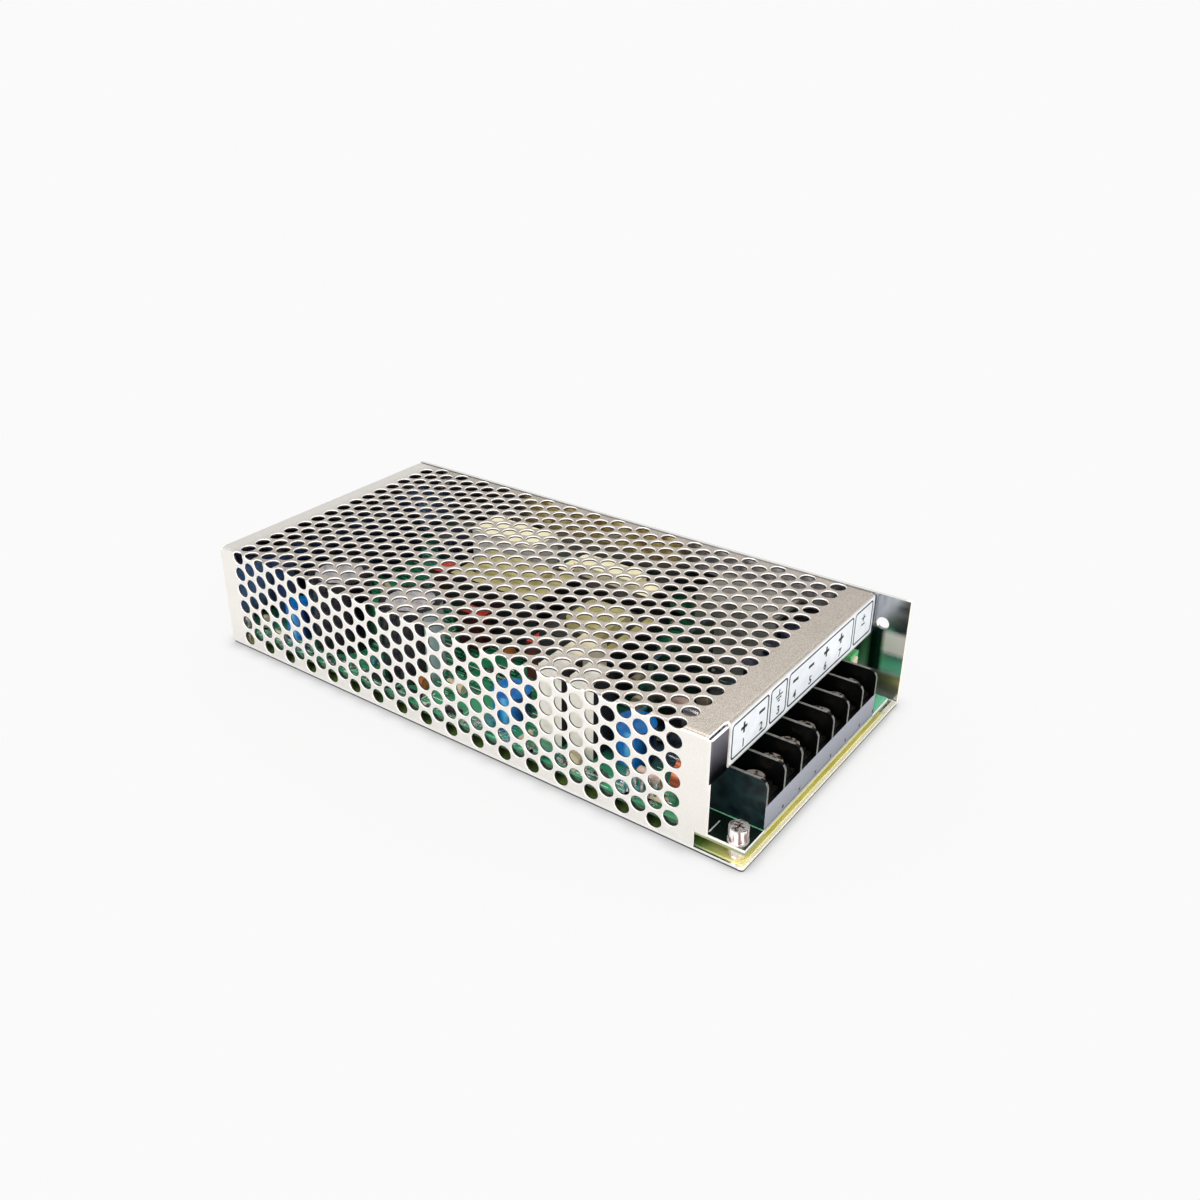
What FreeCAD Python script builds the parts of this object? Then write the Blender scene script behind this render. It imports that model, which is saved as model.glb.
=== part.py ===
import FreeCAD, Part

import math
import os
import re

import Sketcher

# Enclosed switching power supply in a perforated case, in millimetres.
# X runs from the closed rear end to the terminal end, Y from the perforated
# side to the plain wall, Z up from the surface that the case stands on.
# The origin is at the middle of the footprint.

SIZES = {
    # Case as a whole
    "case_length": 199.0,
    "case_width": 98.0,
    "case_height": 36.0,
    # Aluminium chassis: floor and far wall, one folded sheet
    "chassis_thick": 1.2,
    "chassis_bend": 1.8,
    "chassis_corner": 1.0,
    "wall_hole_radius": 2.0,
    "wall_hole_inset": 7.7,
    "wall_hole_drop": 9.5,
    "fixing_radius": 2.0,
    "fixing_spread_long": 117.0,
    "fixing_spread_cross": 50.0,
    # Steel cover: top, near side, rear end, label flange, near tab, far lip
    "cover_thick": 0.8,
    "cover_bend": 1.0,
    "cover_gap": 0.1,
    "cover_setback": 11.0,
    "flange_drop": 13.8,
    "tab_width": 8.5,
    "relief_slot": 0.5,
    "relief_hole": 0.7,
    "lip_drop": 10.0,
    "notch_length": 3.9,
    "notch_height": 5.0,
    # Perforation of the cover: staggered columns of holes along the case
    "hole_diameter": 4.7,
    "column_pitch": 5.1,
    "row_pitch": 6.13,
    "front_margin": 10.7,
    "rear_margin": 8.9,
    "edge_margin": 2.4,
    # Label on the flange
    "label_thick": 0.15,
    "label_margin": 0.6,
    # Countersunk screws through the far wall into the lip
    "cover_screw_radius": 1.5,
    "cover_screw_head": 2.7,
    "cover_screw_length": 5.0,
    "cover_screw_spread": 80.0,
    "thread_play": 0.05,
    # Insulating sheet on the floor
    "sheet_thick": 0.3,
    "sheet_edge": 0.9,
    "sheet_near_gap": 0.1,
    "sheet_far_gap": 9.0,
    "sheet_window": 8.0,
    # Circuit board on its standoffs
    "board_thick": 1.6,
    "board_lift": 3.4,
    "board_edge": 0.4,
    "board_far_gap": 1.4,
    "board_step_gap": 7.3,
    "board_step_length": 22.0,
    "standoff_radius": 2.25,
    "board_screw_inset": 3.8,
    "board_screw_side": 3.7,
    "board_screw_radius": 1.5,
    "board_screw_head": 2.7,
    "board_head_height": 2.6,
    "washer_radius": 2.85,
    "washer_thick": 0.6,
    "spring_washer_radius": 2.6,
    "spring_washer_thick": 1.3,
    # Terminal block with seven ways
    "way_pitch": 9.5,
    "divider_thick": 0.9,
    "block_side_gap": 11.1,
    "block_depth": 17.5,
    "block_setback": 0.5,
    "block_back": 1.2,
    "way_floor_height": 7.1,
    "divider_height": 15.0,
    "divider_round": 2.5,
    "well_width": 4.6,
    "well_depth": 5.2,
    "contact_thick": 0.8,
    "contact_width": 7.4,
    "contact_front_gap": 1.4,
    "contact_back_gap": 1.9,
    "tail_width": 3.0,
    "tail_play": 0.1,
    "tail_reach": 1.2,
    "clamp_thick": 0.9,
    "clamp_width": 7.2,
    "clamp_play": 0.05,
    "screw_inset": 6.5,
    "screw_radius": 1.75,
    "screw_play": 0.05,
    "screw_length": 6.4,
    "screw_head_radius": 3.1,
    "screw_head_height": 2.0,
    "recess_width": 0.8,
    "recess_span": 3.6,
    "recess_depth": 1.1,
    # Light and trimmer beside the block
    "lamp_setback": 10.9,
    "lamp_side_gap": 15.0,
    "lamp_radius": 1.5,
    "lamp_rim_radius": 1.9,
    "lamp_rim_thick": 1.0,
    "lamp_height": 5.3,
    "lamp_lead_length": 5.5,
    "lead_width": 0.5,
    "trimmer_setback": 11.4,
    "trimmer_side_gap": 7.3,
    "trimmer_depth": 4.8,
    "trimmer_width": 5.4,
    "trimmer_height": 13.0,
    "rotor_radius": 1.8,
    "rotor_play": 0.05,
    "rotor_depth": 1.6,
    "rotor_proud": 0.5,
    # Main transformer, as large as the parts around it leave room for
    "transformer_inset": 63.5,
    "transformer_setback": 99.5,
    "transformer_side_gap": 43.0,
    "transformer_far_gap": 31.8,
    "transformer_height": 25.0,
    # Output choke
    "choke_setback": 77.5,
    "choke_near": 3.0,
    "choke_length": 26.0,
    "choke_width": 26.0,
    "choke_height": 23.0,
    # Input filter choke with a pale winding, between the relay and the output side
    "filter_inset": 87.5,
    "filter_setback": 75.5,
    "filter_far_gap": 22.0,
    "filter_width": 19.0,
    "filter_height": 23.0,
    # All wound parts
    "core_leg": 5.0,
    "core_play": 0.2,
    "core_share_drop": 3.5,
    "bobbin_thick": 1.0,
    # Relay
    "relay_inset": 63.5,
    "relay_far_gap": 20.0,
    "relay_length": 27.0,
    "relay_width": 14.0,
    "relay_height": 24.0,
    # Two tall black electrolytic capacitors
    "bulk_radius": 10.0,
    "bulk_height": 25.0,
    "bulk_side_gap": 16.5,
    "bulk_inset": 55.0,
    "bulk_spread": 32.0,
    # Other round capacitors, and a copper wound toroid
    "small_can_radius": 4.5,
    "small_can_height": 12.0,
    "small_can_inset": 24.0,
    "small_can_side_gap": 10.5,
    "middle_can_setback": 85.8,
    "middle_can_side_gap": 13.8,
    "middle_can_radius": 5.9,
    "middle_can_height": 9.5,
    "front_can_setback": 45.5,
    "front_can_side_gap": 19.0,
    "front_can_radius": 6.0,
    "front_can_height": 11.0,
    "rear_can_inset": 34.5,
    "rear_can_side_gap": 77.0,
    "rear_can_radius": 6.5,
    "rear_can_height": 16.0,
    "output_can_setback": 26.0,
    "output_can_radius": 5.0,
    "output_can_height": 20.0,
    "output_can_pitch": 11.5,
    "output_can_far_gap": 14.8,
    "toroid_setback": 26.0,
    "toroid_side_gap": 11.5,
    "toroid_radius": 5.5,
    "toroid_bore": 2.0,
    "toroid_thick": 6.0,
    "toroid_lift": 1.0,
    # Two upright cement resistors near the side
    "resistor_setback": 68.3,
    "resistor_pitch": 11.0,
    "resistor_side_gap": 9.6,
    "resistor_length": 8.0,
    "resistor_width": 10.0,
    "resistor_height": 25.0,
    # Red film capacitors
    "film_length": 10.0,
    "film_thick": 5.0,
    "film_height": 13.0,
    # Finned heatsink across the rear end
    "heatsink_inset": 6.0,
    "heatsink_depth": 12.0,
    "heatsink_near": 34.0,
    "heatsink_far": 28.0,
    "heatsink_height": 25.0,
    "heatsink_plate": 2.5,
    "fin_thick": 1.5,
    "fin_pitch": 8.5,
    # Bent aluminium heat spreader near the terminal end
    "spreader_setback": 60.0,
    "spreader_length": 28.0,
    "spreader_width": 22.0,
    "spreader_height": 24.0,
    "spreader_thick": 1.5,
    # Power transistors held against the far wall
    "pad_thick": 0.3,
    "transistor_width": 10.0,
    "transistor_thick": 4.5,
    "transistor_lift": 3.0,
    "transistor_lip_gap": 1.8,
    "transistor_pitch": 14.0,
    "transistor_inset": 27.5,
    "lead_pitch": 2.5,
    "bar_thick": 1.0,
    "bar_height": 6.0,
    # Upright control board
    "control_setback": 49.5,
    "control_near": 18.0,
    "control_width": 34.0,
    "control_height": 24.0,
    "chip_length": 10.0,
    "chip_width": 4.0,
    "chip_thick": 1.6,
    # Glass fuse in two clips
    "fuse_setback": 33.0,
    "fuse_far_gap": 54.3,
    "fuse_radius": 2.5,
    "fuse_length": 20.0,
    "fuse_cap_length": 5.0,
    "clip_thick": 0.5,
    "clip_lift": 1.0,
}

WAYS = 7
HOLE_SIDES = 6
# The modelled pattern is the sheet's own one enlarged by this factor, so that
# half as many holes show the same sheet.
PATTERN_SCALE = 1.4

Vector = FreeCAD.Vector
doc = FreeCAD.newDocument("power_supply")
sheet = doc.addObject("Spreadsheet::Sheet", "sizes")
for row, (alias, number) in enumerate(SIZES.items(), start=1):
    cell = "B%d" % row
    sheet.set("A%d" % row, alias)
    sheet.set(cell, str(number))
    sheet.setAlias(cell, alias)
doc.recompute()


def size(alias):
    """The number that the sheet holds under an alias."""
    return float(sheet.get(alias))


def bind(item, prop, text):
    """Bind a property to an expression; a word with an underscore is an alias."""
    item.setExpression(prop, re.sub(r"[a-z]+(?:_[a-z]+)+", r"sizes.\g<0>", text))


def place(item, x, y, z):
    bind(item, "Placement.Base.x", x)
    bind(item, "Placement.Base.y", y)
    bind(item, "Placement.Base.z", z)


def box(name, x, y, z, length, width, height):
    """A block from its lowest corner, every value an expression."""
    item = doc.addObject("Part::Box", name)
    place(item, x, y, z)
    bind(item, "Length", length)
    bind(item, "Width", width)
    bind(item, "Height", height)
    return item


TURNS = {
    "z": FreeCAD.Rotation(),
    "x": FreeCAD.Rotation(Vector(0, 1, 0), 90),
    "y": FreeCAD.Rotation(Vector(1, 0, 0), -90),
}


def cylinder(name, x, y, z, radius, height, axis="z"):
    """A cylinder from the centre of its first end, along the named axis."""
    item = doc.addObject("Part::Cylinder", name)
    item.Placement = FreeCAD.Placement(Vector(), TURNS[axis])
    place(item, x, y, z)
    bind(item, "Radius", radius)
    bind(item, "Height", height)
    return item


def cone(name, x, y, z, first, last, height, axis="z"):
    item = doc.addObject("Part::Cone", name)
    item.Placement = FreeCAD.Placement(Vector(), TURNS[axis])
    place(item, x, y, z)
    bind(item, "Radius1", first)
    bind(item, "Radius2", last)
    bind(item, "Height", height)
    return item


def group(name, items):
    """Separate solids that share one node."""
    item = doc.addObject("Part::Compound", name)
    item.Links = items
    return item


def fuse(name, items):
    item = doc.addObject("Part::MultiFuse", name)
    item.Shapes = items
    item.Refine = True
    return item


def cut(name, base, tools):
    item = doc.addObject("Part::Cut", name)
    item.Base = base
    item.Tool = tools[0] if len(tools) == 1 else group(name + "_tools", tools)
    item.Refine = True
    return item


def origin_plane(body, role):
    return [plane for plane in body.Origin.OriginFeatures if plane.Role == role][0]


def profile(body, name, role, points):
    """A closed outline of straight lines, each corner bound to two expressions."""
    sketch = body.newObject("Sketcher::SketchObject", name)
    sketch.AttachmentSupport = [(origin_plane(body, role), "")]
    sketch.MapMode = "FlatFace"
    count = len(points)
    start = []
    for index in range(count):
        angle = 2 * math.pi * index / count
        start.append(Vector(10 * math.cos(angle), 10 * math.sin(angle), 0))
    for index in range(count):
        line = Part.LineSegment(start[index], start[(index + 1) % count])
        sketch.addGeometry(line, False)
    for index in range(count):
        joint = Sketcher.Constraint("Coincident", index, 2, (index + 1) % count, 1)
        sketch.addConstraint(joint)
    for index, corner in enumerate(points):
        for kind, text, first in zip(("DistanceX", "DistanceY"), corner, start[index]):
            distance = Sketcher.Constraint(kind, -1, 1, index, 1, first)
            number = sketch.addConstraint(distance)
            bind(sketch, "Constraints[%d]" % number, text)
    return sketch


def turned_body(name, points):
    """A body turned about its own Z axis from half a profile in the XZ plane."""
    body = doc.addObject("PartDesign::Body", name)
    sketch = profile(body, name + "_profile", "XZ_Plane", points)
    doc.recompute()
    turn = body.newObject("PartDesign::Revolution", name + "_turn")
    turn.Profile = sketch
    turn.ReferenceAxis = (sketch, ["V_Axis"])
    turn.Angle = 360
    return body


PARTS = []


def keep(item, label):
    """Name a finished sub-part."""
    item.Label = label
    PARTS.append(item)
    return item


# Levels and edges that many pieces share
REAR = "-case_length / 2"
FRONT = "(case_length / 2)"
NEAR = "-case_width / 2"
FAR = "(case_width / 2)"
FLOOR_TOP = "chassis_thick"
WALL_INSIDE = "(case_width / 2 - chassis_thick)"
COVER_FRONT = "(case_length / 2 - cover_setback)"
COVER_FAR = "(case_width / 2 - chassis_thick - cover_gap)"
BOARD_BOTTOM = "(chassis_thick + board_lift)"
BOARD_TOP = "(chassis_thick + board_lift + board_thick)"
BOARD_NEAR = "(-case_width / 2 + cover_thick + board_edge / 2)"
SCREW_X = "(case_length / 2 - board_screw_inset)"
SCREW_Y = "(-case_width / 2 + board_screw_side)"
BLOCK_FRONT = "(case_length / 2 - block_setback)"
BLOCK_NEAR = "(-case_width / 2 + block_side_gap)"
WAY_FLOOR = "(chassis_thick + board_lift + board_thick + way_floor_height)"
TERMINAL_X = "(case_length / 2 - block_setback - screw_inset)"
TAIL_X = "(case_length / 2 - block_setback - block_depth + block_back + contact_back_gap)"
TRANSFORMER_X = "(transformer_inset - transformer_setback) / 2"
TRANSFORMER_Y = "(transformer_side_gap - chassis_thick - transformer_far_gap) / 2"
TRANSFORMER_LENGTH = "(case_length - transformer_inset - transformer_setback)"
TRANSFORMER_WIDTH = "(case_width - chassis_thick - transformer_side_gap - transformer_far_gap)"


def way_middle(way):
    """Y of the middle of a way, counted from the near end."""
    return "(-case_width / 2 + block_side_gap + divider_thick / 2 + way_pitch * %s)" % (way + 0.5)


def fixing_points():
    """The four floor fixings, as signs along X and Y."""
    return [(sx, sy) for sx in (-1, 1) for sy in (-1, 1)]


def make_chassis():
    """Floor and far wall folded from one sheet, with its screw holes."""
    body = doc.addObject("PartDesign::Body", "chassis_body")
    outline = profile(body, "chassis_outline", "YZ_Plane", [
        (NEAR, "0"),
        (FAR, "0"),
        (FAR, "case_height"),
        (WALL_INSIDE, "case_height"),
        (WALL_INSIDE, "chassis_thick"),
        (NEAR, "chassis_thick"),
    ])
    doc.recompute()
    sheet_metal = body.newObject("PartDesign::Pad", "chassis_sheet")
    sheet_metal.Profile = outline
    sheet_metal.Midplane = True
    bind(sheet_metal, "Length", "case_length")
    doc.recompute()
    bend = body.newObject("PartDesign::Fillet", "chassis_fold")
    far = size("case_width") / 2
    inside = far - size("chassis_thick")
    outer_edge = edge_at(sheet_metal.Shape, Vector(0, far, 0))
    bend.Base = (sheet_metal, [outer_edge])
    bind(bend, "Radius", "chassis_bend")
    doc.recompute()
    inner = body.newObject("PartDesign::Fillet", "chassis_fold_inside")
    inner_edge = edge_at(bend.Shape, Vector(0, inside, size("chassis_thick")))
    inner.Base = (bend, [inner_edge])
    bind(inner, "Radius", "chassis_bend - chassis_thick")
    doc.recompute()
    corners = body.newObject("PartDesign::Fillet", "chassis_corners")
    half = size("case_length") / 2
    level = size("chassis_thick") / 2
    found = [edge_at(inner.Shape, Vector(side * half, -far, level)) for side in (-1, 1)]
    corners.Base = (inner, found)
    bind(corners, "Radius", "chassis_corner")
    holes = []
    for sx, sy in fixing_points():
        holes.append(cylinder("floor_fixing", "%d * fixing_spread_long / 2" % sx,
                              "%d * fixing_spread_cross / 2" % sy, "-1",
                              "fixing_radius", "chassis_thick + 2"))
    for side in (-1, 1):
        holes.append(wall_hole("wall_hole", side, WALL_INSIDE + " - 1", "wall_hole_radius",
                               "chassis_thick + 2"))
    for place_x in cover_screw_places():
        holes.append(cover_screw_sink("countersink", place_x, "0"))
    keep(cut("chassis", body, holes), "chassis")


def wall_hole(name, side, start, radius, length):
    """A hole across the far wall near one end of the case."""
    return cylinder(name, "%d * (case_length / 2 - wall_hole_inset)" % side, start,
                    "case_height - wall_hole_drop", radius, length, "y")


def edge_at(shape, point):
    """Name of the edge whose middle lies nearest to a point."""
    def distance(edge):
        middle = edge.valueAt((edge.FirstParameter + edge.LastParameter) / 2)
        return middle.distanceToPoint(point)
    nearest = min(range(len(shape.Edges)), key=lambda index: distance(shape.Edges[index]))
    return "Edge%d" % (nearest + 1)


def cover_screw_places():
    """X of the cover's screws along the far wall."""
    middle = "-cover_setback / 2"
    return [middle + " - cover_screw_spread", middle, middle + " + cover_screw_spread"]


def cover_screw_sink(name, place_x, play):
    """A countersunk head's cone in the far wall, widened by play."""
    level = "case_height - lip_drop / 2"
    head = cone(name, place_x, WALL_INSIDE, level, "cover_screw_radius + " + play,
                "cover_screw_head + " + play, "chassis_thick", "y")
    return head


def make_cover_screws():
    """Countersunk screws that hold the cover's lip to the far wall."""
    screws = []
    for place_x in cover_screw_places():
        head = cover_screw_sink("cover_screw_head", place_x, "0")
        shank = cylinder("cover_screw_shank", place_x, FAR + " - cover_screw_length",
                         "case_height - lip_drop / 2", "cover_screw_radius",
                         "cover_screw_length - chassis_thick", "y")
        screws.append(fuse("cover_screw", [head, shank]))
    keep(group("cover_screws", screws), "cover_screws")


def hexagon(middle, first, second, radius):
    """A flat six-sided face about a point, in the plane of two unit vectors."""
    points = []
    for corner in range(HOLE_SIDES):
        angle = 2 * math.pi * corner / HOLE_SIDES
        points.append(middle + first * (radius * math.cos(angle)) + second * (radius * math.sin(angle)))
    return Part.Face(Part.makePolygon(points + points[:1]))


def rows_between(low, high, pitch, shifted):
    """Even rows centred between two limits; a shifted column lies half a pitch off."""
    count = int((high - low) / pitch + 1e-6) + 1
    start = (low + high - (count - 1) * pitch) / 2
    if shifted:
        return [start + pitch * (index + 0.5) for index in range(count - 1)]
    return [start + pitch * index for index in range(count)]


def perforation():
    """All the holes of the top and of the near side, as one set of cutters."""
    radius = size("hole_diameter") / 2 * PATTERN_SCALE
    column = size("column_pitch") * PATTERN_SCALE
    pitch = size("row_pitch") * PATTERN_SCALE
    margin = size("edge_margin") + radius
    first = -size("case_length") / 2 + size("rear_margin")
    last = size("case_length") / 2 - size("cover_setback") - size("front_margin")
    columns = int((last - first) / column + 1e-6) + 1
    column = (last - first) / (columns - 1)
    near = -size("case_width") / 2
    far = -near - size("chassis_thick") - size("cover_gap")
    top = size("case_height")
    depth = size("cover_thick") * 3
    unit_x = Vector(1, 0, 0)
    unit_y = Vector(0, 1, 0)
    unit_z = Vector(0, 0, 1)
    cutters = []
    for index in range(columns):
        x = first + column * index
        shifted = index % 2 == 1
        for y in rows_between(near + margin, far - margin, pitch, shifted):
            face = hexagon(Vector(x, y, top - depth / 2), unit_x, unit_y, radius)
            cutters.append(face.extrude(unit_z * depth))
        for z in rows_between(size("chassis_thick") + margin, top - margin, pitch, not shifted):
            face = hexagon(Vector(x, near - depth / 2, z), unit_x, unit_z, radius)
            cutters.append(face.extrude(unit_y * depth))
    pattern = doc.addObject("Part::Feature", "perforation")
    pattern.Shape = Part.makeCompound(cutters)
    return pattern


def make_cover():
    """The folded and perforated cover."""
    over = "1"
    outer = box("cover_outside", REAR, NEAR, "chassis_thick",
                "case_length - cover_setback",
                "case_width - chassis_thick - cover_gap", "case_height - chassis_thick")
    doc.recompute()
    rounded = doc.addObject("Part::Fillet", "cover_folds")
    rounded.Base = outer
    half = size("case_length") / 2
    front = half - size("cover_setback")
    near = -size("case_width") / 2
    top = size("case_height")
    middle_z = (top + size("chassis_thick")) / 2
    middle_x = (front - half) / 2
    middle_y = outer.Shape.BoundBox.Center.y
    folds = [Vector(middle_x, near, top), Vector(-half, middle_y, top),
             Vector(front, middle_y, top), Vector(-half, near, middle_z),
             Vector(front, near, middle_z)]
    radius = size("cover_bend")
    rounded.Edges = [(int(edge_at(outer.Shape, point)[4:]), radius, radius) for point in folds]
    inside = box("cover_inside", REAR + " + cover_thick", NEAR + " + cover_thick",
                 "chassis_thick - " + over, "case_length - cover_setback - 2 * cover_thick",
                 "case_width - chassis_thick - cover_gap - 2 * cover_thick",
                 "case_height - cover_thick - chassis_thick + " + over)
    below_lip = box("below_lip", REAR + " + cover_thick", COVER_FAR + " - cover_thick - " + over,
                    "chassis_thick - " + over, "case_length", "cover_thick + 2 * " + over,
                    "case_height - chassis_thick - lip_drop + " + over)
    below_flange = box("below_flange", COVER_FRONT + " - cover_thick", NEAR + " + cover_thick",
                       "chassis_thick - " + over, "cover_thick + " + over, "case_width",
                       "case_height - chassis_thick - flange_drop + " + over)
    below_tab = box("below_tab", COVER_FRONT + " - cover_thick", NEAR + " + cover_thick / 2",
                    "chassis_thick - " + over, "cover_thick + " + over, "cover_thick",
                    "case_height - chassis_thick - flange_drop + " + over)
    slit = box("flange_slit", COVER_FRONT + " - cover_thick - " + over,
               NEAR + " + tab_width", "chassis_thick", "2 * " + over + " + cover_thick",
               "relief_slot", "case_height")
    tab_top = box("tab_top_slot", COVER_FRONT + " - cover_thick - relief_slot",
                  NEAR + " + cover_thick", "case_height - cover_thick - relief_slot",
                  "relief_slot + cover_thick + " + over, "tab_width - cover_thick + relief_slot",
                  "cover_thick + relief_slot + " + over)
    corner_hole = cylinder("corner_relief", COVER_FRONT + " - cover_thick",
                           NEAR + " + cover_thick", "case_height - 2 * cover_thick",
                           "relief_hole", "case_height")
    notch = box("side_notch", COVER_FRONT + " - notch_length", NEAR + " - " + over, "0",
                "notch_length + " + over, "cover_thick + 2 * " + over,
                "chassis_thick + notch_height")
    lip_window = wall_hole("lip_window", -1, COVER_FAR + " - cover_thick - " + over,
                           "wall_hole_radius + cover_thick", "cover_thick + 2 * " + over)
    cutters = [inside, below_lip, below_flange, below_tab, slit, tab_top, corner_hole, notch,
               lip_window]
    for place_x in cover_screw_places():
        cutters.append(cylinder("lip_hole", place_x, COVER_FAR + " - cover_thick - " + over,
                                "case_height - lip_drop / 2", "cover_screw_radius + thread_play",
                                "cover_thick + 2 * " + over, "y"))
    plain = cut("cover_plain", rounded, cutters)
    keep(cut("mesh_cover", plain, [perforation()]), "mesh_cover")


def make_label():
    """A thin plate on the label flange."""
    start = NEAR + " + tab_width + relief_slot + label_margin"
    label = box("label", COVER_FRONT, start, "case_height - flange_drop + label_margin",
                "label_thick", COVER_FAR + " - label_margin - (" + start + ")",
                "flange_drop - label_margin - cover_bend")
    keep(label, "terminal_label")


def board_screw_points():
    """Where the board is screwed down: the near corners and two far ones."""
    far_y = WALL_INSIDE + " - board_step_gap - board_screw_side"
    return [
        (SCREW_X, SCREW_Y),
        ("-" + SCREW_X, SCREW_Y),
        ("-" + SCREW_X, far_y),
        (SCREW_X + " - board_step_length", far_y),
    ]


def make_insulation():
    """A plastic sheet between the floor and the board, clear of all fixings."""
    plate = box("sheet_plate", REAR + " + sheet_edge", NEAR + " + cover_thick + sheet_near_gap",
                FLOOR_TOP, "case_length - 2 * sheet_edge",
                "case_width - cover_thick - sheet_near_gap - chassis_thick - sheet_far_gap",
                "sheet_thick")
    windows = []
    for sx, sy in fixing_points():
        windows.append(box("sheet_window", "%d * fixing_spread_long / 2 - sheet_window / 2" % sx,
                           "%d * fixing_spread_cross / 2 - sheet_window / 2" % sy, "0",
                           "sheet_window", "sheet_window", "chassis_thick + 1"))
    for x, y in board_screw_points():
        windows.append(cylinder("sheet_standoff_hole", x, y, "0",
                                "standoff_radius + thread_play", "chassis_thick + 1"))
    keep(cut("insulation_sheet", plate, windows), "insulation_sheet")


def make_board():
    """The circuit board, with a step beside the terminal block."""
    body = doc.addObject("PartDesign::Body", "board_body")
    step_x = FRONT + " - board_step_length"
    outline = profile(body, "board_outline", "XY_Plane", [
        (REAR + " + cover_thick + 2 * board_edge", BOARD_NEAR),
        (FRONT + " - board_edge", BOARD_NEAR),
        (FRONT + " - board_edge", WALL_INSIDE + " - board_step_gap"),
        (step_x, WALL_INSIDE + " - board_step_gap"),
        (step_x, WALL_INSIDE + " - board_far_gap"),
        (REAR + " + cover_thick + 2 * board_edge", WALL_INSIDE + " - board_far_gap"),
    ])
    bind(outline, "AttachmentOffset.Base.z", BOARD_BOTTOM)
    doc.recompute()
    plate = body.newObject("PartDesign::Pad", "board_plate")
    plate.Profile = outline
    bind(plate, "Length", "board_thick")
    holes = []
    for x, y in board_screw_points():
        holes.append(cylinder("board_screw_hole", x, y, BOARD_BOTTOM + " - 1",
                              "board_screw_radius + thread_play", "board_thick + 2"))
    for way in range(WAYS):
        holes.append(tail_slot("board_tail_slot", way, BOARD_BOTTOM + " - 1", "board_thick + 2"))
    keep(cut("circuit_board", body, holes), "circuit_board")


def tail_slot(name, way, bottom, height):
    """The slot that a contact's solder tail passes through."""
    return box(name, TAIL_X + " - tail_play", way_middle(way) + " - tail_width / 2 - tail_play",
               bottom, "contact_thick + 2 * tail_play", "tail_width + 2 * tail_play", height)


def make_board_fasteners():
    """Standoffs, screws, flat washers and spring washers under and on the board."""
    standoffs = []
    screws = []
    flats = []
    springs = []
    head_level = BOARD_TOP + " + washer_thick + spring_washer_thick"
    for x, y in board_screw_points():
        post = cylinder("standoff_post", x, y, FLOOR_TOP, "standoff_radius", "board_lift")
        bore = cylinder("standoff_bore", x, y, "0", "board_screw_radius + thread_play",
                        "case_height")
        standoffs.append(cut("standoff", post, [bore]))
        washer = cylinder("flat_washer_disc", x, y, BOARD_TOP, "washer_radius", "washer_thick")
        flats.append(cut("flat_washer", washer, [bore]))
        coil = cylinder("spring_washer_disc", x, y, BOARD_TOP + " + washer_thick",
                        "spring_washer_radius", "spring_washer_thick")
        gap = box("spring_washer_gap", x, y + " - washer_thick / 2", BOARD_TOP,
                  "washer_radius", "washer_thick", "case_height")
        springs.append(cut("spring_washer", coil, [bore, gap]))
        head = cylinder("board_screw_cap", x, y, head_level, "board_screw_head",
                        "board_head_height")
        shank_bottom = FLOOR_TOP + " + board_lift / 3"
        shank = cylinder("board_screw_shank", x, y, shank_bottom, "board_screw_radius",
                         head_level + " - (" + shank_bottom + ")")
        solid = fuse("board_screw_solid", [head, shank])
        screws.append(cut("board_screw", solid, cross_slots(x, y, head_level + " + board_head_height")))
    keep(group("standoffs", standoffs), "board_standoffs")
    keep(group("flat_washers", flats), "board_flat_washers")
    keep(group("spring_washers", springs), "board_spring_washers")
    keep(group("screws", screws), "board_screws")


def cross_slots(x, y, top):
    """Two crossed slots for the recess in a screw's head."""
    bottom = top + " - recess_depth"
    long_slot = box("recess_long", x + " - recess_span / 2", y + " - recess_width / 2", bottom,
                    "recess_span", "recess_width", "recess_depth + 1")
    cross_slot = box("recess_cross", x + " - recess_width / 2", y + " - recess_span / 2", bottom,
                     "recess_width", "recess_span", "recess_depth + 1")
    return [long_slot, cross_slot]


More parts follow.
